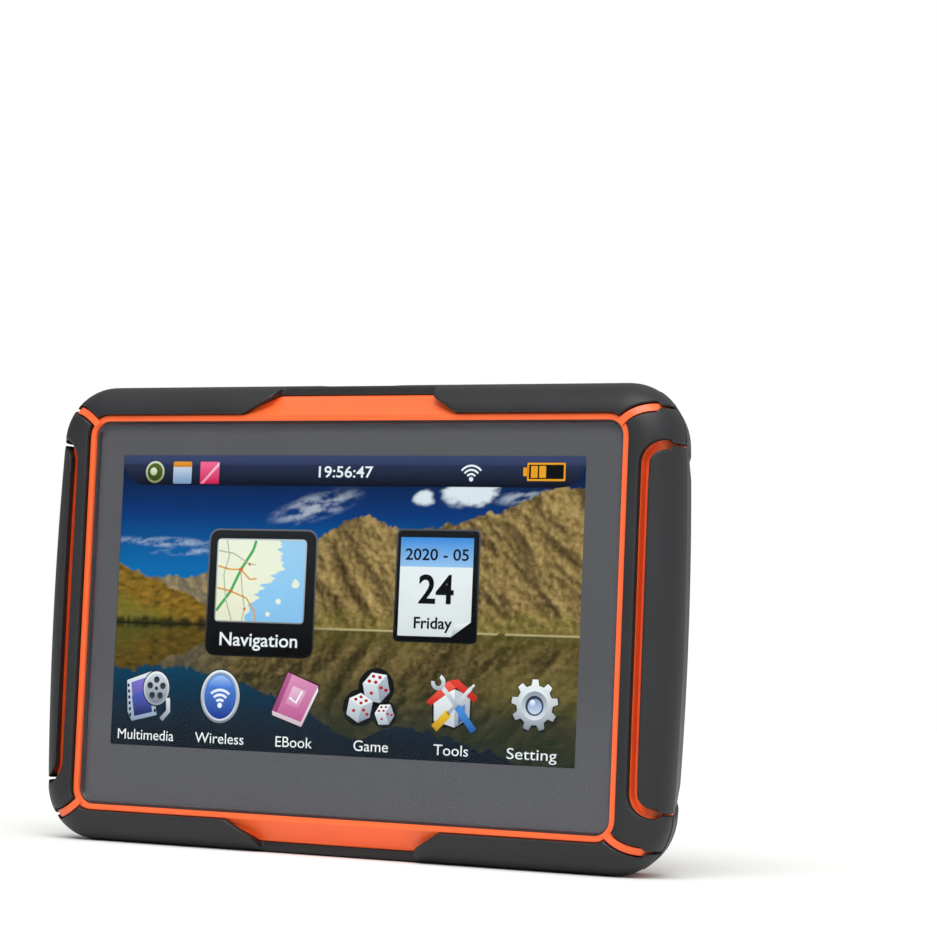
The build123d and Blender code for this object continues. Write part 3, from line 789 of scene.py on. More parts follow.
def ring_of(name, loops):
    """A closed ring whose section is the loops, each an outline in x and z at one y."""
    bm = bmesh.new()
    rings = [[bm.verts.new((x, y, z)) for x, z in outline] for outline, y in loops]
    count = len(rings[0])
    for a, b in zip(rings, rings[1:] + rings[:1]):
        for i in range(count):
            j = (i + 1) % count
            bm.faces.new((a[i], a[j], b[j], b[i]))
    bmesh.ops.recalc_face_normals(bm, faces=bm.faces)
    mesh = bpy.data.meshes.new(name)
    bm.to_mesh(mesh)
    bm.free()
    return mesh


def plug_mesh(radius, long):
    """One plug: a rounded button with a key notch in its top edge."""
    half, deep = 0.30 * MM, 0.5 * MM
    outline = []
    steps = 40
    edge = degrees(half / radius)
    for i in range(steps + 1):
        a = radians(90 + edge + (360 - 2 * edge) * i / steps)
        outline.append((radius * cos(a), radius * sin(a)))
    outline += [(half, radius - deep), (-half, radius - deep)]
    bm = bmesh.new()
    face = bm.faces.new([bm.verts.new((x, 0, z)) for x, z in outline])
    solid = bmesh.ops.extrude_face_region(bm, geom=[face])
    bmesh.ops.translate(bm, vec=(0, -long, 0),
                        verts=[v for v in solid["geom"] if isinstance(v, bmesh.types.BMVert)])
    bmesh.ops.recalc_face_normals(bm, faces=bm.faces)
    rim = [e for e in bm.edges if all(abs(v.co.y) < 1e-7 for v in e.verts)]
    bmesh.ops.bevel(bm, geom=rim, offset=0.12 * MM, segments=3, affect="EDGES", profile=0.5)
    for face in bm.faces:
        face.smooth = len(face.verts) < 6
    mesh = bpy.data.meshes.new("plug")
    bm.to_mesh(mesh)
    bm.free()
    return mesh


class GPS_OT_overmould(bpy.types.Operator):
    """Rounds the black bumpers, pads and rear pads"""

    bl_idname = "gps.overmould"
    bl_label = "Rubber overmould"

    def execute(self, context):
        case = context.scene.gps_case
        rubber = black_tpu(case.rubber)
        for node in ("bumper_top", "bumper_bottom", "side_pad_left", "side_pad_right",
                     "end_pad_left", "end_pad_right", "rear_pad_top", "rear_pad_bottom"):
            cushioned(node, node + "_skin", "case", "black_rubber", rubber, case.rubber_voxel,
                      case.rubber_rounds, 0.32)
        softened("port_cover", "port_cover_skin", "cover", "black_rubber", rubber,
                 case.cover_round)
        return {"FINISHED"}


class GPS_OT_shells(bpy.types.Operator):
    """Rounds the orange shells, the back panel and the power key"""

    bl_idname = "gps.shells"
    bl_label = "Hard shells"

    def execute(self, context):
        case = context.scene.gps_case
        orange = orange_abs(case.orange)
        softened("front_housing", "front_shell", "case", "orange_plastic", orange,
                 case.shell_round)
        softened("rear_housing", "rear_shell", "case", "orange_plastic", orange, case.shell_round)
        softened("power_button", "power_key", "button", "orange_plastic", orange,
                 1.6 * case.shell_round)
        softened("rear_panel", "back_panel", "case", "rear_cover", soft_touch(case.cover),
                 1.2 * case.shell_round)
        return {"FINISHED"}


class GPS_OT_plugs(bpy.types.Operator):
    """Sets the notched plugs over the case screws"""

    bl_idname = "gps.plugs"
    bl_label = "Screw plugs"

    def execute(self, context):
        fixing = context.scene.gps_fixing
        plug = shown("plug", plug_mesh(fixing.plug_round, fixing.plug_long))
        low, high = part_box("screw_plugs")
        middle = 0.5 * (low.z + high.z)

        def fill(tree, sockets):
            plans = []
            for x, z in (("Corner x", "Row z"), ("Row x", "Row z")):
                wide = add(tree, "ShaderNodeMath", {0: sockets[x], 1: 2.0}, operation="MULTIPLY")
                tall = add(tree, "ShaderNodeMath", {0: sockets[z], 1: 2.0}, operation="MULTIPLY")
                plans.append(add(tree, "GeometryNodeMeshGrid", {
                    0: wide.outputs[0], 1: tall.outputs[0], 2: 2, 3: 2}).outputs[0])
            below = add(tree, "ShaderNodeMath", {0: sockets["End z"], 1: -1.0},
                        operation="MULTIPLY")
            step = add(tree, "ShaderNodeMath", {0: sockets["End z"], 1: 2.0}, operation="MULTIPLY")
            start = add(tree, "ShaderNodeCombineXYZ", {0: sockets["End x"], 1: below.outputs[0]})
            stride = add(tree, "ShaderNodeCombineXYZ", {1: step.outputs[0]})
            plans.append(add(tree, "GeometryNodeMeshLine", {
                "Count": 2, "Start Location": start.outputs[0],
                "Offset": stride.outputs[0]}).outputs[0])
            joined = add(tree, "GeometryNodeJoinGeometry")
            for plan in plans:
                tree.links.new(plan, joined.inputs[0])
            upright = add(tree, "GeometryNodeTransform", {
                0: joined.outputs[0], "Translation": (0.0, high.y, middle),
                "Rotation": (radians(90), 0.0, 0.0)})
            shape = add(tree, "GeometryNodeObjectInfo", {"Object": sockets["Plug"]})
            return add(tree, "GeometryNodeInstanceOnPoints", {
                "Points": upright.outputs[0],
                "Instance": shape.outputs["Geometry"]}).outputs[0]

        number = "NodeSocketFloat"
        mesh = grown("plug_layout", plug_rubber(), [
            ("Plug", "NodeSocketObject", plug),
            ("Corner x", number, fixing.corner_half_x), ("Row x", number, fixing.row_half_x),
            ("Row z", number, fixing.row_half_z), ("End x", number, fixing.end_x),
            ("End z", number, fixing.end_half_z)], fill)
        discard(plug)
        link("notched_plugs", mesh, "case", "plug_grey", "screw_plugs")
        return {"FINISHED"}


class GPS_OT_contacts(bpy.types.Operator):
    """Sets the row of turned charging contacts"""

    bl_idname = "gps.contacts"
    bl_label = "Charging contacts"

    def execute(self, context):
        fixing = context.scene.gps_fixing
        low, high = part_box("contact_pins")
        r, long = fixing.contact_round, high.y - low.y
        pin = shown("pin", turned_profile("pin", [
            (0, -long), (0.6 * r, -long), (0.6 * r, -0.35 * long), (r, -0.32 * long),
            (r, -0.10 * MM), (0.96 * r, -0.03 * MM), (0.88 * r, 0), (0.74 * r, -0.01 * MM),
            (0.68 * r, -0.09 * MM), (0.60 * r, -0.09 * MM), (0.52 * r, -0.02 * MM), (0, 0)]))

        def fill(tree, sockets):
            stride = add(tree, "ShaderNodeCombineXYZ", {0: sockets["Pitch"]})
            line = add(tree, "GeometryNodeMeshLine", {
                "Count": sockets["Count"],
                "Start Location": (low.x + r, high.y, 0.5 * (low.z + high.z)),
                "Offset": stride.outputs[0]})
            shape = add(tree, "GeometryNodeObjectInfo", {"Object": sockets["Pin"]})
            return add(tree, "GeometryNodeInstanceOnPoints", {
                "Points": line.outputs[0], "Instance": shape.outputs["Geometry"]}).outputs[0]

        mesh = grown("contact_row", gold_flash(), [
            ("Pin", "NodeSocketObject", pin), ("Count", "NodeSocketInt", fixing.contact_count),
            ("Pitch", "NodeSocketFloat", fixing.contact_pitch)], fill)
        discard(pin)
        link("charging_pins", mesh, "case", "gold_contacts", "contact_pins")
        return {"FINISHED"}


class GPS_OT_thread(bpy.types.Operator):
    """Cuts the turns of the mounting thread inside the brass insert"""

    bl_idname = "gps.thread"
    bl_label = "Mounting thread"

    def execute(self, context):
        fixing = context.scene.gps_fixing
        low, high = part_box("mount_insert")
        middle = 0.5 * (low + high)

        def fill(tree, sockets):
            rise = add(tree, "ShaderNodeMath", {0: sockets["Pitch"], 1: sockets["Turns"]},
                       operation="MULTIPLY")
            helix = add(tree, "GeometryNodeCurveSpiral", {
                "Resolution": 40, "Rotations": sockets["Turns"],
                "Start Radius": sockets["Radius"], "End Radius": sockets["Radius"],
                "Height": rise.outputs[0]})
            tooth = add(tree, "GeometryNodeCurvePrimitiveCircle", {
                "Resolution": 4, "Radius": 0.16 * MM})
            swept = add(tree, "GeometryNodeCurveToMesh", {
                "Curve": helix.outputs[0], "Profile Curve": tooth.outputs[0], "Fill Caps": True})
            return add(tree, "GeometryNodeTransform", {
                0: swept.outputs[0], "Rotation": (radians(-90), 0.0, 0.0),
                "Translation": (middle.x, low.y + 0.35 * MM, middle.z)}).outputs[0]

        mesh = grown("thread_helix", turned_brass(), [
            ("Radius", "NodeSocketFloat", fixing.thread_round),
            ("Pitch", "NodeSocketFloat", fixing.thread_pitch),
            ("Turns", "NodeSocketFloat", fixing.thread_turns)], fill)
        link("thread_turns", mesh, "case", "brass")
        return {"FINISHED"}


class GPS_OT_glass(bpy.types.Operator):
    """Lays the printed border behind the glass and clears the pane"""

    bl_idname = "gps.glass"
    bl_label = "Glass and border"

    def execute(self, context):
        screen = context.scene.gps_screen
        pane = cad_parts["touch_glass"]
        pane.data.materials.clear()
        pane.data.materials.append(glass_pane())
        wide, tall = GLASS_HIGH.x - GLASS_LOW.x, GLASS_HIGH.z - GLASS_LOW.z

        def round_glass(more, corner):
            """An outline that much bigger than the glass, in metres."""
            return moved(round_box(wide + more * MM, tall + more * MM, corner * MM, 6), MIDDLE_X,
                         MIDDLE_Z)

        def round_view(more):
            """An outline that much bigger than the screen's picture, in metres."""
            return moved(round_box(2 * SCREEN_HALF_U * MM + more * MM,
                                   2 * SCREEN_HALF_V * MM + more * MM, 0.3 * MM, 6), SCREEN_X,
                         SCREEN_Z)

        # The border is ink round the picture on a ledge that holds the edge of the display.
        front = GLASS_HIGH.y + 0.005 * MM
        lip = front + 0.04 * MM
        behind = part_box("glass_seal")[1].y
        outer, inner, ledge = round_glass(-0.1, 2.45), round_view(0.0), round_view(2.4)
        mesh = ring_of("border", ((outer, front), (inner, front), (inner, lip), (ledge, lip),
                                  (ledge, behind), (outer, behind)))
        link("printed_border", mesh, "case", "front_glass", "glass_seal",
             material=printed_border(screen.border))
        near, far = round_glass(0.1, 2.55), round_glass(0.76, 2.8)
        top = GLASS_LOW.y + 0.45 * MM
        mesh = ring_of("gasket", ((near, top), (near, front), (far, front), (far, top)))
        # Gasket: extruded silicone cord pressed into the gap round the glass, dark and dull.
        gasket = grained("extruded_gasket", linear("#2b2b2d"), linear("#3c3c3e"), 4.0, 0.2, 0.004,
                         (0.55, 0.7))
        link("edge_gasket", mesh, "case", "seal", material=gasket)
        return {"FINISHED"}


class GPS_OT_wallpaper(bpy.types.Operator):
    """Paints the mountain lake behind the menu"""

    bl_idname = "gps.wallpaper"
    bl_label = "Wallpaper"

    def execute(self, context):
        screen = context.scene.gps_screen
        link("screen_wallpaper", wallpaper_mesh(screen.cell / MM), "case", "display",
             material=lcd_picture(screen.dot / MM))
        return {"FINISHED"}


class GPS_OT_status(bpy.types.Operator):
    """Draws the bar along the top of the screen"""

    bl_idname = "gps.status"
    bl_label = "Status bar"

    def execute(self, context):
        sheet = Sheet()
        half, top, foot = SCREEN_HALF_U, SCREEN_HALF_V, 21.4
        bar = moved(round_box(2 * half, 2 * (top - foot), 5.0, 8), 0, top)
        bar = [(u, min(v, top)) for u, v in bar if v < top] + [(half, top), (-half, top)]
        bar.sort(key=lambda p: (p[1] >= top, p[0] if p[1] < top else -p[0]))
        sheet.leaf(bar, 0, "#333d5e", "#060d1b")
        sheet.leaf([(-half, top), (half, top), (half, 25.2), (-half, 25.2)], 1, "#414c73", "#323c5d")

        # Round badge, notebook, flag.
        sheet.leaf(moved(disc(2.05), -40.6, 23.8), 2, "#e4e6c8", "#8b8f58")
        sheet.leaf(moved(disc(1.65), -40.6, 23.8), 3, "#5d6b2b", "#39451b")
        sheet.leaf(moved(disc(0.75, 16), -40.9, 23.9), 4, "#eef0dc", "#c9cc9d")
        sheet.leaf(moved(round_box(4.0, 4.1, 0.3), -34.6, 23.7), 2, "#dfe6ee", "#7f9cc4")
        sheet.leaf(moved(round_box(4.0, 1.0, 0.3), -34.6, 25.25), 3, "#f6a43a", "#d87c1c")
        sheet.leaf(moved(round_box(2.9, 1.6, 0.2), -34.6, 23.1), 3, "#b9c9df", "#8ba6cd")
        sheet.leaf(moved(round_box(4.1, 4.1, 0.2), -28.7, 23.7), 2, "#ff6f9b", "#d5184f")
        sheet.leaf([(-30.7, 21.7), (-30.0, 21.7), (-26.7, 25.0), (-26.7, 25.7)], 3, "#ffd3df",
                   "#ff8fb0")

        sheet.words("19:56:47", 0.0, 23.0, 11.2, 2.1, 2, "#f4f6fa")

        # Radio signal: a dot and three arcs.
        for radius in (1.0, 1.75, 2.5):
            sheet.leaf(moved(band(radius, 0.36, 40, 100), 25.3, 22.7), 2, "#f2f5fb")
        sheet.leaf(moved(disc(0.42, 12), 25.3, 22.8), 2, "#f2f5fb")

        # Battery: amber outline with its charge.
        for outline, layer, tone in (
                (moved(round_box(7.4, 3.2, 0.2), 39.9, 24.15), 2, "#f6a623"),
                (moved(round_box(0.9, 1.5, 0.1), 35.9, 24.15), 2, "#f6a623"),
                (moved(round_box(6.7, 2.5, 0.1), 39.9, 24.15), 3, "#0a0a0c"),
                (moved(round_box(1.3, 2.1, 0.1), 37.6, 24.15), 4, "#f6a623"),
                (moved(round_box(1.3, 2.1, 0.1), 39.2, 24.15), 4, "#f6a623")):
            sheet.leaf(outline, layer, tone)
        sheet.piece("screen_status", bpy.data.materials["lcd_picture"])
        return {"FINISHED"}


class GPS_OT_tiles(bpy.types.Operator):
    """Draws the map tile and the calendar tile"""

    bl_idname = "gps.tiles"
    bl_label = "Map and calendar"

    def execute(self, context):
        sheet = Sheet()
        self.map_tile(sheet)
        self.calendar(sheet)
        sheet.piece("screen_tiles", bpy.data.materials["lcd_picture"])
        return {"FINISHED"}

    def map_tile(self, sheet):
        sheet.leaf(moved(round_box(22.9, 23.3, 2.0), -16.6, 1.8), 0, "#6b6e72", "#17181a")
        sheet.leaf(moved(round_box(22.3, 22.7, 1.8), -16.6, 1.8), 1, "#26272a", "#050506")
        sheet.leaf(moved(round_box(18.9, 15.3, 0.9), -16.8, 4.0), 2, "#c9ccd0", "#8d9196")
        left, right, low, high = -26.0, -7.6, -3.4, 11.4
        sheet.leaf([(left, low), (right, low), (right, high), (left, high)], 3, "#a5d3f2",
                   "#8fc6ee")
        coast = []
        steps = 70
        for i in range(steps + 1):
            v = low + (high - low) * i / steps
            share = i / steps
            u = -18.6 + 6.6 * share - 1.4 * sin(7.0 * share)
            u += 2.6 * noise.noise((0.0, 0.55 * v, 4.0)) + 1.5 * noise.noise((3.0, 1.7 * v, 1.0))
            coast.append((min(u, right - 0.6), v))
        sheet.leaf([(left, low)] + coast + [(left, high)], 4, "#f5f4de", "#f0ecd0")
        for u, v, r, seed in ((-9.3, 3.6, 0.8, 1), (-12.8, 0.4, 0.55, 2), (-15.0, -2.0, 0.45, 3)):
            isle = [(x * (1 + 0.5 * noise.noise((x, y, seed))), y * (1 + 0.4 * noise.noise(
                (y, x, seed + 5)))) for x, y in disc(r, 22)]
            sheet.leaf([(min(a, right - 0.1), max(b, low)) for a, b in moved(isle, u, v)], 4,
                       "#f3f1da")
        sheet.leaf(stroke([(-25.9, -1.6), (-23.0, 2.0), (-21.0, 6.0), (-18.6, 9.5), (-18.0, 11.3)],
                          0.55), 5, "#4fae5b")
        for points, width, tone in (
                ([(-25.9, 6.6), (-23.4, 6.0), (-21.0, 6.0), (-19.0, 4.2), (-17.6, 4.4)], 0.3,
                 "#e8a54a"),
                ([(-25.9, 2.6), (-23.0, 2.0), (-19.6, 0.8), (-17.8, -1.6), (-17.6, -3.3)], 0.3,
                 "#e8a54a"),
                ([(-24.2, 11.3), (-23.6, 8.6), (-24.6, 5.0), (-24.0, 0.6), (-22.6, -3.3)], 0.22,
                 "#b9b9a4"),
                ([(-25.9, 9.4), (-22.6, 8.9), (-19.2, 7.0), (-17.9, 6.9)], 0.22, "#b9b9a4"),
                ([(-21.0, 6.0), (-20.6, 2.4), (-19.9, -1.2), (-20.4, -3.3)], 0.22, "#b9b9a4")):
            sheet.leaf(stroke(points, width), 6, tone)
        for u, v, r in ((-21.0, 6.0, 0.42), (-23.0, 2.0, 0.34), (-19.2, 7.0, 0.28),
                        (-19.9, -1.2, 0.28)):
            sheet.leaf(moved(disc(r, 12), u, v), 7, "#d86f4f")
        sheet.words("Navigation", -16.7, -7.9, 16.4, 2.5, 2, "#f7f8fa")

    def calendar(self, sheet):
        sheet.leaf(moved(round_box(16.7, 20.1, 1.0), 19.35, 3.85), 0, "#55585c", "#111214")
        sheet.leaf(moved(round_box(16.1, 19.5, 0.8), 19.35, 3.85), 1, "#1b1c1f", "#050506")
        sheet.leaf([(11.9, -5.1), (22.6, -5.1), (26.4, -2.4), (26.4, 12.4), (11.9, 12.4)], 2,
                   "#f7f8f8", "#e2e4e5")
        sheet.leaf([(22.6, -5.1), (23.2, -2.9), (26.4, -2.4)], 3, "#ffffff", "#a9adb1")
        sheet.leaf([(11.9, 7.2), (26.4, 7.2), (26.4, 12.4), (11.9, 12.4)], 3, "#3f8fdc",
                   "#9cc6ee")
        sheet.words("2020 - 05", 19.2, 8.4, 12.6, 2.1, 4, "#10131a")
        sheet.words("24", 19.3, 0.8, 7.0, 5.2, 4, "#0c0d10", 0.02)
        sheet.words("Friday", 18.9, -3.7, 7.6, 2.1, 4, "#14161a", 0.02)


class GPS_OT_icons(bpy.types.Operator):
    """Draws the six menu icons and the words below them"""

    bl_idname = "gps.icons"
    bl_label = "Menu icons"

    def execute(self, context):
        sheet = Sheet()
        self.film(sheet, -39.9, -17.6)
        self.wireless(sheet, -24.2, -17.3)
        self.book(sheet, -8.4, -17.3)
        self.dice(sheet, 7.4, -16.6)
        self.tools(sheet, 23.4, -16.8)
        self.gear(sheet, 39.4, -16.5)
        for text, u, width in (("Multimedia", -39.9, 12.2), ("Wireless", -24.0, 10.4),
                               ("EBook", -8.3, 7.6), ("Game", 7.5, 7.0), ("Tools", 23.5, 6.8),
                               ("Setting", 39.2, 9.6)):
            sheet.words(text, u + 0.12, -25.97, width, 2.0, 1, "#07080a", 0.012)
            sheet.words(text, u, -25.85, width, 2.0, 2, "#fbfcfd", 0.0)
        sheet.piece("screen_icons", bpy.data.materials["lcd_picture"])
        return {"FINISHED"}

    def film(self, sheet, u, v):
        strip = [(-4.6, 2.6), (0.6, 4.4), (2.2, -3.6), (-3.2, -4.9), (-4.2, -3.2)]
        sheet.leaf(moved(strip, u, v, size=1.04), 0, "#0e1016")
        sheet.leaf(moved(strip, u, v), 1, "#f1f4f9", "#8fa0bd")
        sheet.leaf(moved([(-3.7, 2.2), (0.0, 3.4), (1.2, -3.1), (-2.7, -4.0)], u, v), 2, "#8a7bd6",
                   "#232a6e")
        sheet.leaf(moved([(-3.4, -0.4), (-1.6, 0.9), (0.5, -0.2), (1.1, -2.9), (-2.7, -3.8)], u, v),
                   3, "#5868c8", "#151b52")
        for i in range(6):
            for a, b in (((-4.3, 2.2), (-3.5, -4.3)), ((0.4, 3.8), (1.9, -3.4))):
                share = (i + 0.5) / 6
                x, y = blend(a, b, share)
                sheet.leaf(moved(round_box(0.42, 0.62, 0.1, 2), u + x, v + y), 4, "#12151d")
        sheet.leaf(moved(disc(3.0), u + 1.9, v + 1.3, squash=1.12), 4, "#2a2d33", "#0c0d10")
        sheet.leaf(moved(disc(2.8), u + 1.9, v + 1.3, squash=1.12), 5, "#f6f7f9", "#9298a4")
        sheet.leaf(moved(disc(2.4), u + 1.9, v + 1.3, squash=1.12), 6, "#d9dce2", "#7b818e")
        for i in range(5):
            a = radians(90 + 72 * i)
            sheet.leaf(moved(disc(0.62, 14), u + 1.9 + 1.45 * cos(a), v + 1.3 + 1.6 * sin(a)), 7,
                       "#20242c", "#3c424f")
        sheet.leaf(moved(disc(0.34, 12), u + 1.9, v + 1.3), 7, "#20242c")
        sheet.leaf(stroke([(u + 4.5, v - 0.4), (u + 4.7, v - 2.8), (u + 3.2, v - 4.4)], 0.9), 5,
                   "#eef0f4", "#858c99")

    def wireless(self, sheet, u, v):
        sheet.leaf(moved(disc(4.35, 36), u, v, squash=1.17), 0, "#23262c", "#08090b")
        sheet.leaf(moved(disc(4.15, 36), u, v, squash=1.17), 1, "#f4f6f8", "#7d838c")
        sheet.leaf(moved(disc(3.75, 36), u, v, squash=1.18), 2, "#9aa2ad", "#dfe3e8")
        sheet.leaf(moved(disc(3.4, 36), u, v, squash=1.2), 3, "#5f93e8", "#0c2f8e")
        sheet.leaf(moved(disc(2.9, 36, 20, 140), u, v + 0.35, squash=1.2), 4, "#a8c8f6", "#4479d8")
        for radius in (1.1, 2.0, 2.9):
            sheet.leaf(moved(band(radius, 0.5, 48, 84), u, v - 1.7), 5, "#ffffff", "#dde8fb")
        sheet.leaf(moved(disc(0.5, 14), u, v - 1.6), 5, "#ffffff")

    def book(self, sheet, u, v):
        sheet.leaf(moved([(-4.9, -2.2), (-4.6, -3.2), (1.6, -5.1), (4.8, 1.6), (4.7, 3.0),
                          (-1.8, 5.1)], u, v), 0, "#321321", "#14060c")
        sheet.leaf(moved([(-4.6, -2.9), (1.5, -4.8), (4.7, 1.7), (4.6, 2.6), (1.3, -3.9),
                          (-4.7, -2.1)], u, v), 1, "#fdf3f7", "#d8bfca")
        sheet.leaf(moved([(-4.7, -2.1), (1.4, -3.9), (4.6, 2.7), (-1.7, 4.9)], u, v), 2, "#e99bc2",
                   "#c45b93")
        sheet.leaf(moved([(-4.7, -2.1), (-3.7, -2.4), (-0.8, 4.6), (-1.7, 4.9)], u, v), 3,
                   "#c6689c", "#9c3f73")
        sheet.leaf(moved([(-2.0, -0.7), (0.7, -1.5), (2.2, 1.6), (-0.5, 2.5)], u, v), 3, "#f6c9de",
                   "#d983b0")
        sheet.leaf(stroke([(u - 1.2, v + 0.4), (u + 0.2, v - 0.5), (u + 1.4, v + 1.6)], 0.42), 4,
                   "#ffffff")

    def dice(self, sheet, u, v):
        self.die(sheet, u + 0.7, v + 2.1, 2.5, 14)
        self.die(sheet, u - 2.5, v - 1.6, 2.35, -10)
        self.die(sheet, u + 2.6, v - 2.6, 1.75, 24)

    def die(self, sheet, u, v, size, turn):
        """A cube seen from above one edge: three faces with red pips."""
        ax, ay = (0.90, -0.34), (-0.72, -0.48)
        up = (0.0, 0.98)
        faces = ((ax, ay, up, "#ffffff", "#eceef2"), (ax, up, ay, "#e3e6eb", "#b4b9c3"),
                 (ay, up, ax, "#c3c8d2", "#8e95a3"))
        sheet.leaf(moved(disc(1.44, 30), u, v, turn, size, 0.98), 0, "#17181c", "#0a0a0c")
        for p, q, far, top, foot in faces:
            corners = []
            for a, b in ((-0.5, -0.5), (0.5, -0.5), (0.5, 0.5), (-0.5, 0.5)):
                corners.append((p[0] * a + q[0] * b + 0.5 * far[0],
                                p[1] * a + q[1] * b + 0.5 * far[1]))
            sheet.leaf(moved(corners, u, v, turn, size * 1.25), 1 + (far == up), top, foot)
            count = 4 if far == up else (1 if far == ay else 2)
            spots = {1: ((0, 0),), 2: ((-0.2, -0.2), (0.2, 0.2)),
                     4: ((-0.22, -0.22), (0.22, -0.22), (0.22, 0.22), (-0.22, 0.22))}[count]
            for a, b in spots:
                x = p[0] * a + q[0] * b + 0.5 * far[0]
                y = p[1] * a + q[1] * b + 0.5 * far[1]
                spot = moved([(x, y)], u, v, turn, size * 1.25)[0]
                sheet.leaf(moved(disc(0.15 * size, 12), *spot, squash=0.8), 4, "#d3222a",
                           "#98101a")

    def tools(self, sheet, u, v):
        # House with a red roof, a screwdriver and a spanner crossed over it.
        sheet.leaf(moved([(-3.9, 0.6), (-3.6, -3.2), (0.6, -4.3), (3.6, -2.4), (3.6, 1.2),
                          (0.4, 4.3)], u, v, size=1.06), 0, "#17181c", "#08080a")
        sheet.leaf(moved([(-3.7, 1.0), (-3.5, -3.1), (0.6, -4.1), (0.4, 2.6)], u, v), 1, "#fbfbfc",
                   "#c9ccd2")
        sheet.leaf(moved([(0.4, 2.6), (0.6, -4.1), (3.5, -2.3), (3.5, 1.4)], u, v), 1, "#d4d7dd",
                   "#959ba6")
        sheet.leaf(moved([(-5.2, 0.2), (-0.9, 4.0), (0.9, 4.4), (5.0, 1.3), (4.3, 0.4), (0.6, 2.9),
                          (-4.2, -0.4)], u, v), 2, "#f0463a", "#b3170f")
        sheet.leaf(moved([(-5.2, 0.2), (-0.9, 4.0), (0.6, 2.9), (-4.2, -0.4)], u, v), 3, "#ff6a58",
                   "#cc2418")
        sheet.leaf(moved([(1.3, -3.5), (1.3, -0.6), (2.6, 0.1), (2.6, -2.7)], u, v), 2, "#6f8fc9",
                   "#3a558d")
        for points, width, layer, top, foot in (
                (((-3.4, -4.4), (-0.6, -1.6)), 1.5, 4, "#f7cf35", "#c98d12"),
                (((-0.8, -1.8), (3.6, 2.9)), 0.7, 4, "#eef1f5", "#99a1ad"),
                (((3.3, 2.6), (4.2, 3.5)), 0.42, 5, "#ffffff", "#c9ced6"),
                (((4.4, -4.6), (1.0, -0.4)), 1.25, 6, "#4f9be4", "#1b55a8"),
                (((1.1, -0.5), (-2.2, 3.0)), 0.85, 6, "#f2f4f7", "#a1a8b3")):
            sheet.leaf(moved(stroke(points, width), u, v), layer, top, foot)
        sheet.leaf(moved(band(1.05, 0.75, 170, 260), u - 2.9, v + 3.7, 0), 7, "#f6f8fa", "#a4abb6")

    def gear(self, sheet, u, v):
        teeth = 9
        sheet.leaf(moved(gear(teeth, 3.75, 4.75), u, v, 10), 0, "#1a1c20", "#08090a")
        sheet.leaf(moved(gear(teeth, 3.5, 4.5), u, v + 0.1, 10), 1, "#ffffff", "#8b919c")
        sheet.leaf(moved(disc(3.1, 36), u, v), 2, "#f6f7f9", "#a7acb6")
        sheet.leaf(moved(disc(2.5, 32), u, v), 3, "#8f96a3", "#e9ebef")
        sheet.leaf(moved(disc(1.75, 28), u, v), 4, "#2c3444", "#4d5a74")
        sheet.leaf(moved(disc(1.35, 24), u + 0.05, v - 0.1), 5, "#7f96c4", "#d5dff2")
        sheet.leaf(moved(disc(0.55, 16), u - 0.4, v + 0.5), 6, "#ffffff", "#c4d2ee")


class GPS_OT_inside(bpy.types.Operator):
    """Gives the parts inside the case their own finishes"""

    bl_idname = "gps.inside"
    bl_label = "Inside parts"

    def execute(self, context):
        finishes = inside_finishes()
        finishes["mesh"] = acoustic_mesh()
        slots = {
            "display": "display", "display_plate": "steel",
            "display_flex": "flex_film", "display_socket": "socket_plastic",
            "case_seal": "seal", "case_screws": "dark_steel", "mount_insert": "brass",
            "contact_board": "circuit_board", "speaker": "dark_steel", "speaker_mesh": "mesh",
            "main_board": "circuit_board", "board_screws": "dark_steel",
            "processor_shield": "steel", "receiver_shield": "steel", "antenna": "ceramic",
            "battery": "battery_foil", "battery_leads": "lead",
            "battery_socket": "socket_plastic", "usb_socket": "steel",
            "power_switch": "dark_steel"}
        for node, slot in slots.items():
            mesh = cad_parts[node].data
            mesh.materials.clear()
            mesh.materials.append(finishes[slot])
        return {"FINISHED"}


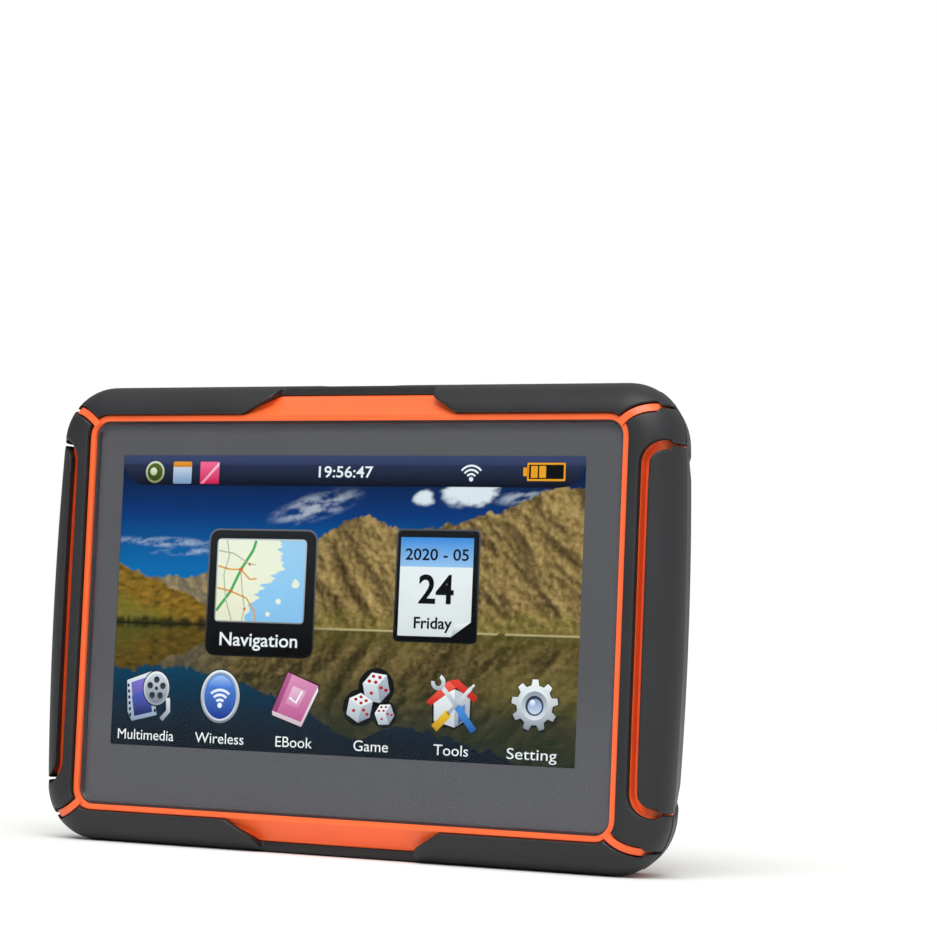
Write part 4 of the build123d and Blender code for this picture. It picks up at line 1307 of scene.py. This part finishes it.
class GPS_OT_studio(bpy.types.Operator):
    """Lays the paper floor and sets the lights and the camera"""

    bl_idname = "gps.studio"
    bl_label = "Studio"

    def execute(self, context):
        studio = context.scene.gps_studio
        half = studio.floor_half
        mesh = bpy.data.meshes.new("paper_floor")
        mesh.from_pydata([(-half, -half, 0), (half, -half, 0), (half, half, 0), (-half, half, 0)],
                         [], [(0, 1, 2, 3)])
        mesh.materials.append(studio_floor(studio.paper))
        shown("paper_floor", mesh)

        world = bpy.data.worlds.new("studio")
        world.use_nodes = True
        tree = world.node_tree
        tree.nodes.clear()
        # A broad soft dome, brightest above and to the right.
        bright_side, darkest, brightest = (0.62, -0.10, 0.78), 0.22, 1.6
        way = add(tree, "ShaderNodeTexCoord").outputs["Generated"]
        side = add(tree, "ShaderNodeVectorMath", {0: way, 1: bright_side},
                   operation="DOT_PRODUCT")
        level = add(tree, "ShaderNodeMapRange", {
            0: side.outputs["Value"], 1: -0.6, 2: 0.9, 3: darkest * studio.world_strength,
            4: brightest * studio.world_strength})
        sky = add(tree, "ShaderNodeBackground", {0: (1.0, 1.0, 1.0, 1.0), 1: level.outputs[0]})
        seen = add(tree, "ShaderNodeBackground", {0: (1.0, 1.0, 1.0, 1.0), 1: 1.0})
        eye = add(tree, "ShaderNodeLightPath")
        both = add(tree, "ShaderNodeMixShader", {0: eye.outputs["Is Camera Ray"],
                                                 1: sky.outputs[0], 2: seen.outputs[0]})
        add(tree, "ShaderNodeOutputWorld", {0: both.outputs[0]})
        context.scene.world = world

        sun = bpy.data.lights.new("key", "SUN")
        sun.energy = studio.sun_strength
        sun.angle = radians(50)
        lamp = shown("key", sun)
        lamp.rotation_euler = (radians(38), 0, radians(18))

        lens = bpy.data.cameras.new("camera")
        lens.lens = studio.lens
        lens.sensor_width = 36.0
        lens.clip_start = 0.01
        camera = shown("camera", lens)
        camera.location = studio.camera_place
        camera.rotation_euler = Euler(studio.camera_turn)
        context.scene.camera = camera
        context.scene.view_settings.view_transform = "Standard"
        return {"FINISHED"}


OPERATORS = (GPS_OT_studio, GPS_OT_overmould, GPS_OT_shells, GPS_OT_plugs, GPS_OT_contacts,
             GPS_OT_thread, GPS_OT_glass, GPS_OT_wallpaper, GPS_OT_status, GPS_OT_tiles,
             GPS_OT_icons, GPS_OT_inside)
GROUPS = {"gps_case": CaseSettings, "gps_fixing": FixingSettings, "gps_screen": ScreenSettings,
          "gps_studio": StudioSettings}


class GPS_PT_panel(bpy.types.Panel):
    """Lists the pieces and their sizes"""

    bl_label = "GPS unit"
    bl_idname = "GPS_PT_panel"
    bl_space_type = "VIEW_3D"
    bl_region_type = "UI"
    bl_category = "GPS unit"

    def draw(self, context):
        for operator in OPERATORS:
            self.layout.operator(operator.bl_idname)
        for name, group in GROUPS.items():
            box = self.layout.box()
            box.label(text=group.__doc__)
            for prop in group.__annotations__:
                box.prop(getattr(context.scene, name), prop)


CLASSES = (*GROUPS.values(), *OPERATORS, GPS_PT_panel)


def register():
    for cls in CLASSES:
        bpy.utils.register_class(cls)
    for name, group in GROUPS.items():
        setattr(bpy.types.Scene, name, PointerProperty(type=group))


def unregister():
    for name in GROUPS:
        delattr(bpy.types.Scene, name)
    for cls in reversed(CLASSES):
        bpy.utils.unregister_class(cls)


def main():
    register()
    for operator in OPERATORS:
        area, name = operator.bl_idname.split(".")
        getattr(getattr(bpy.ops, area), name)()


if __name__ == "__main__":
    main()
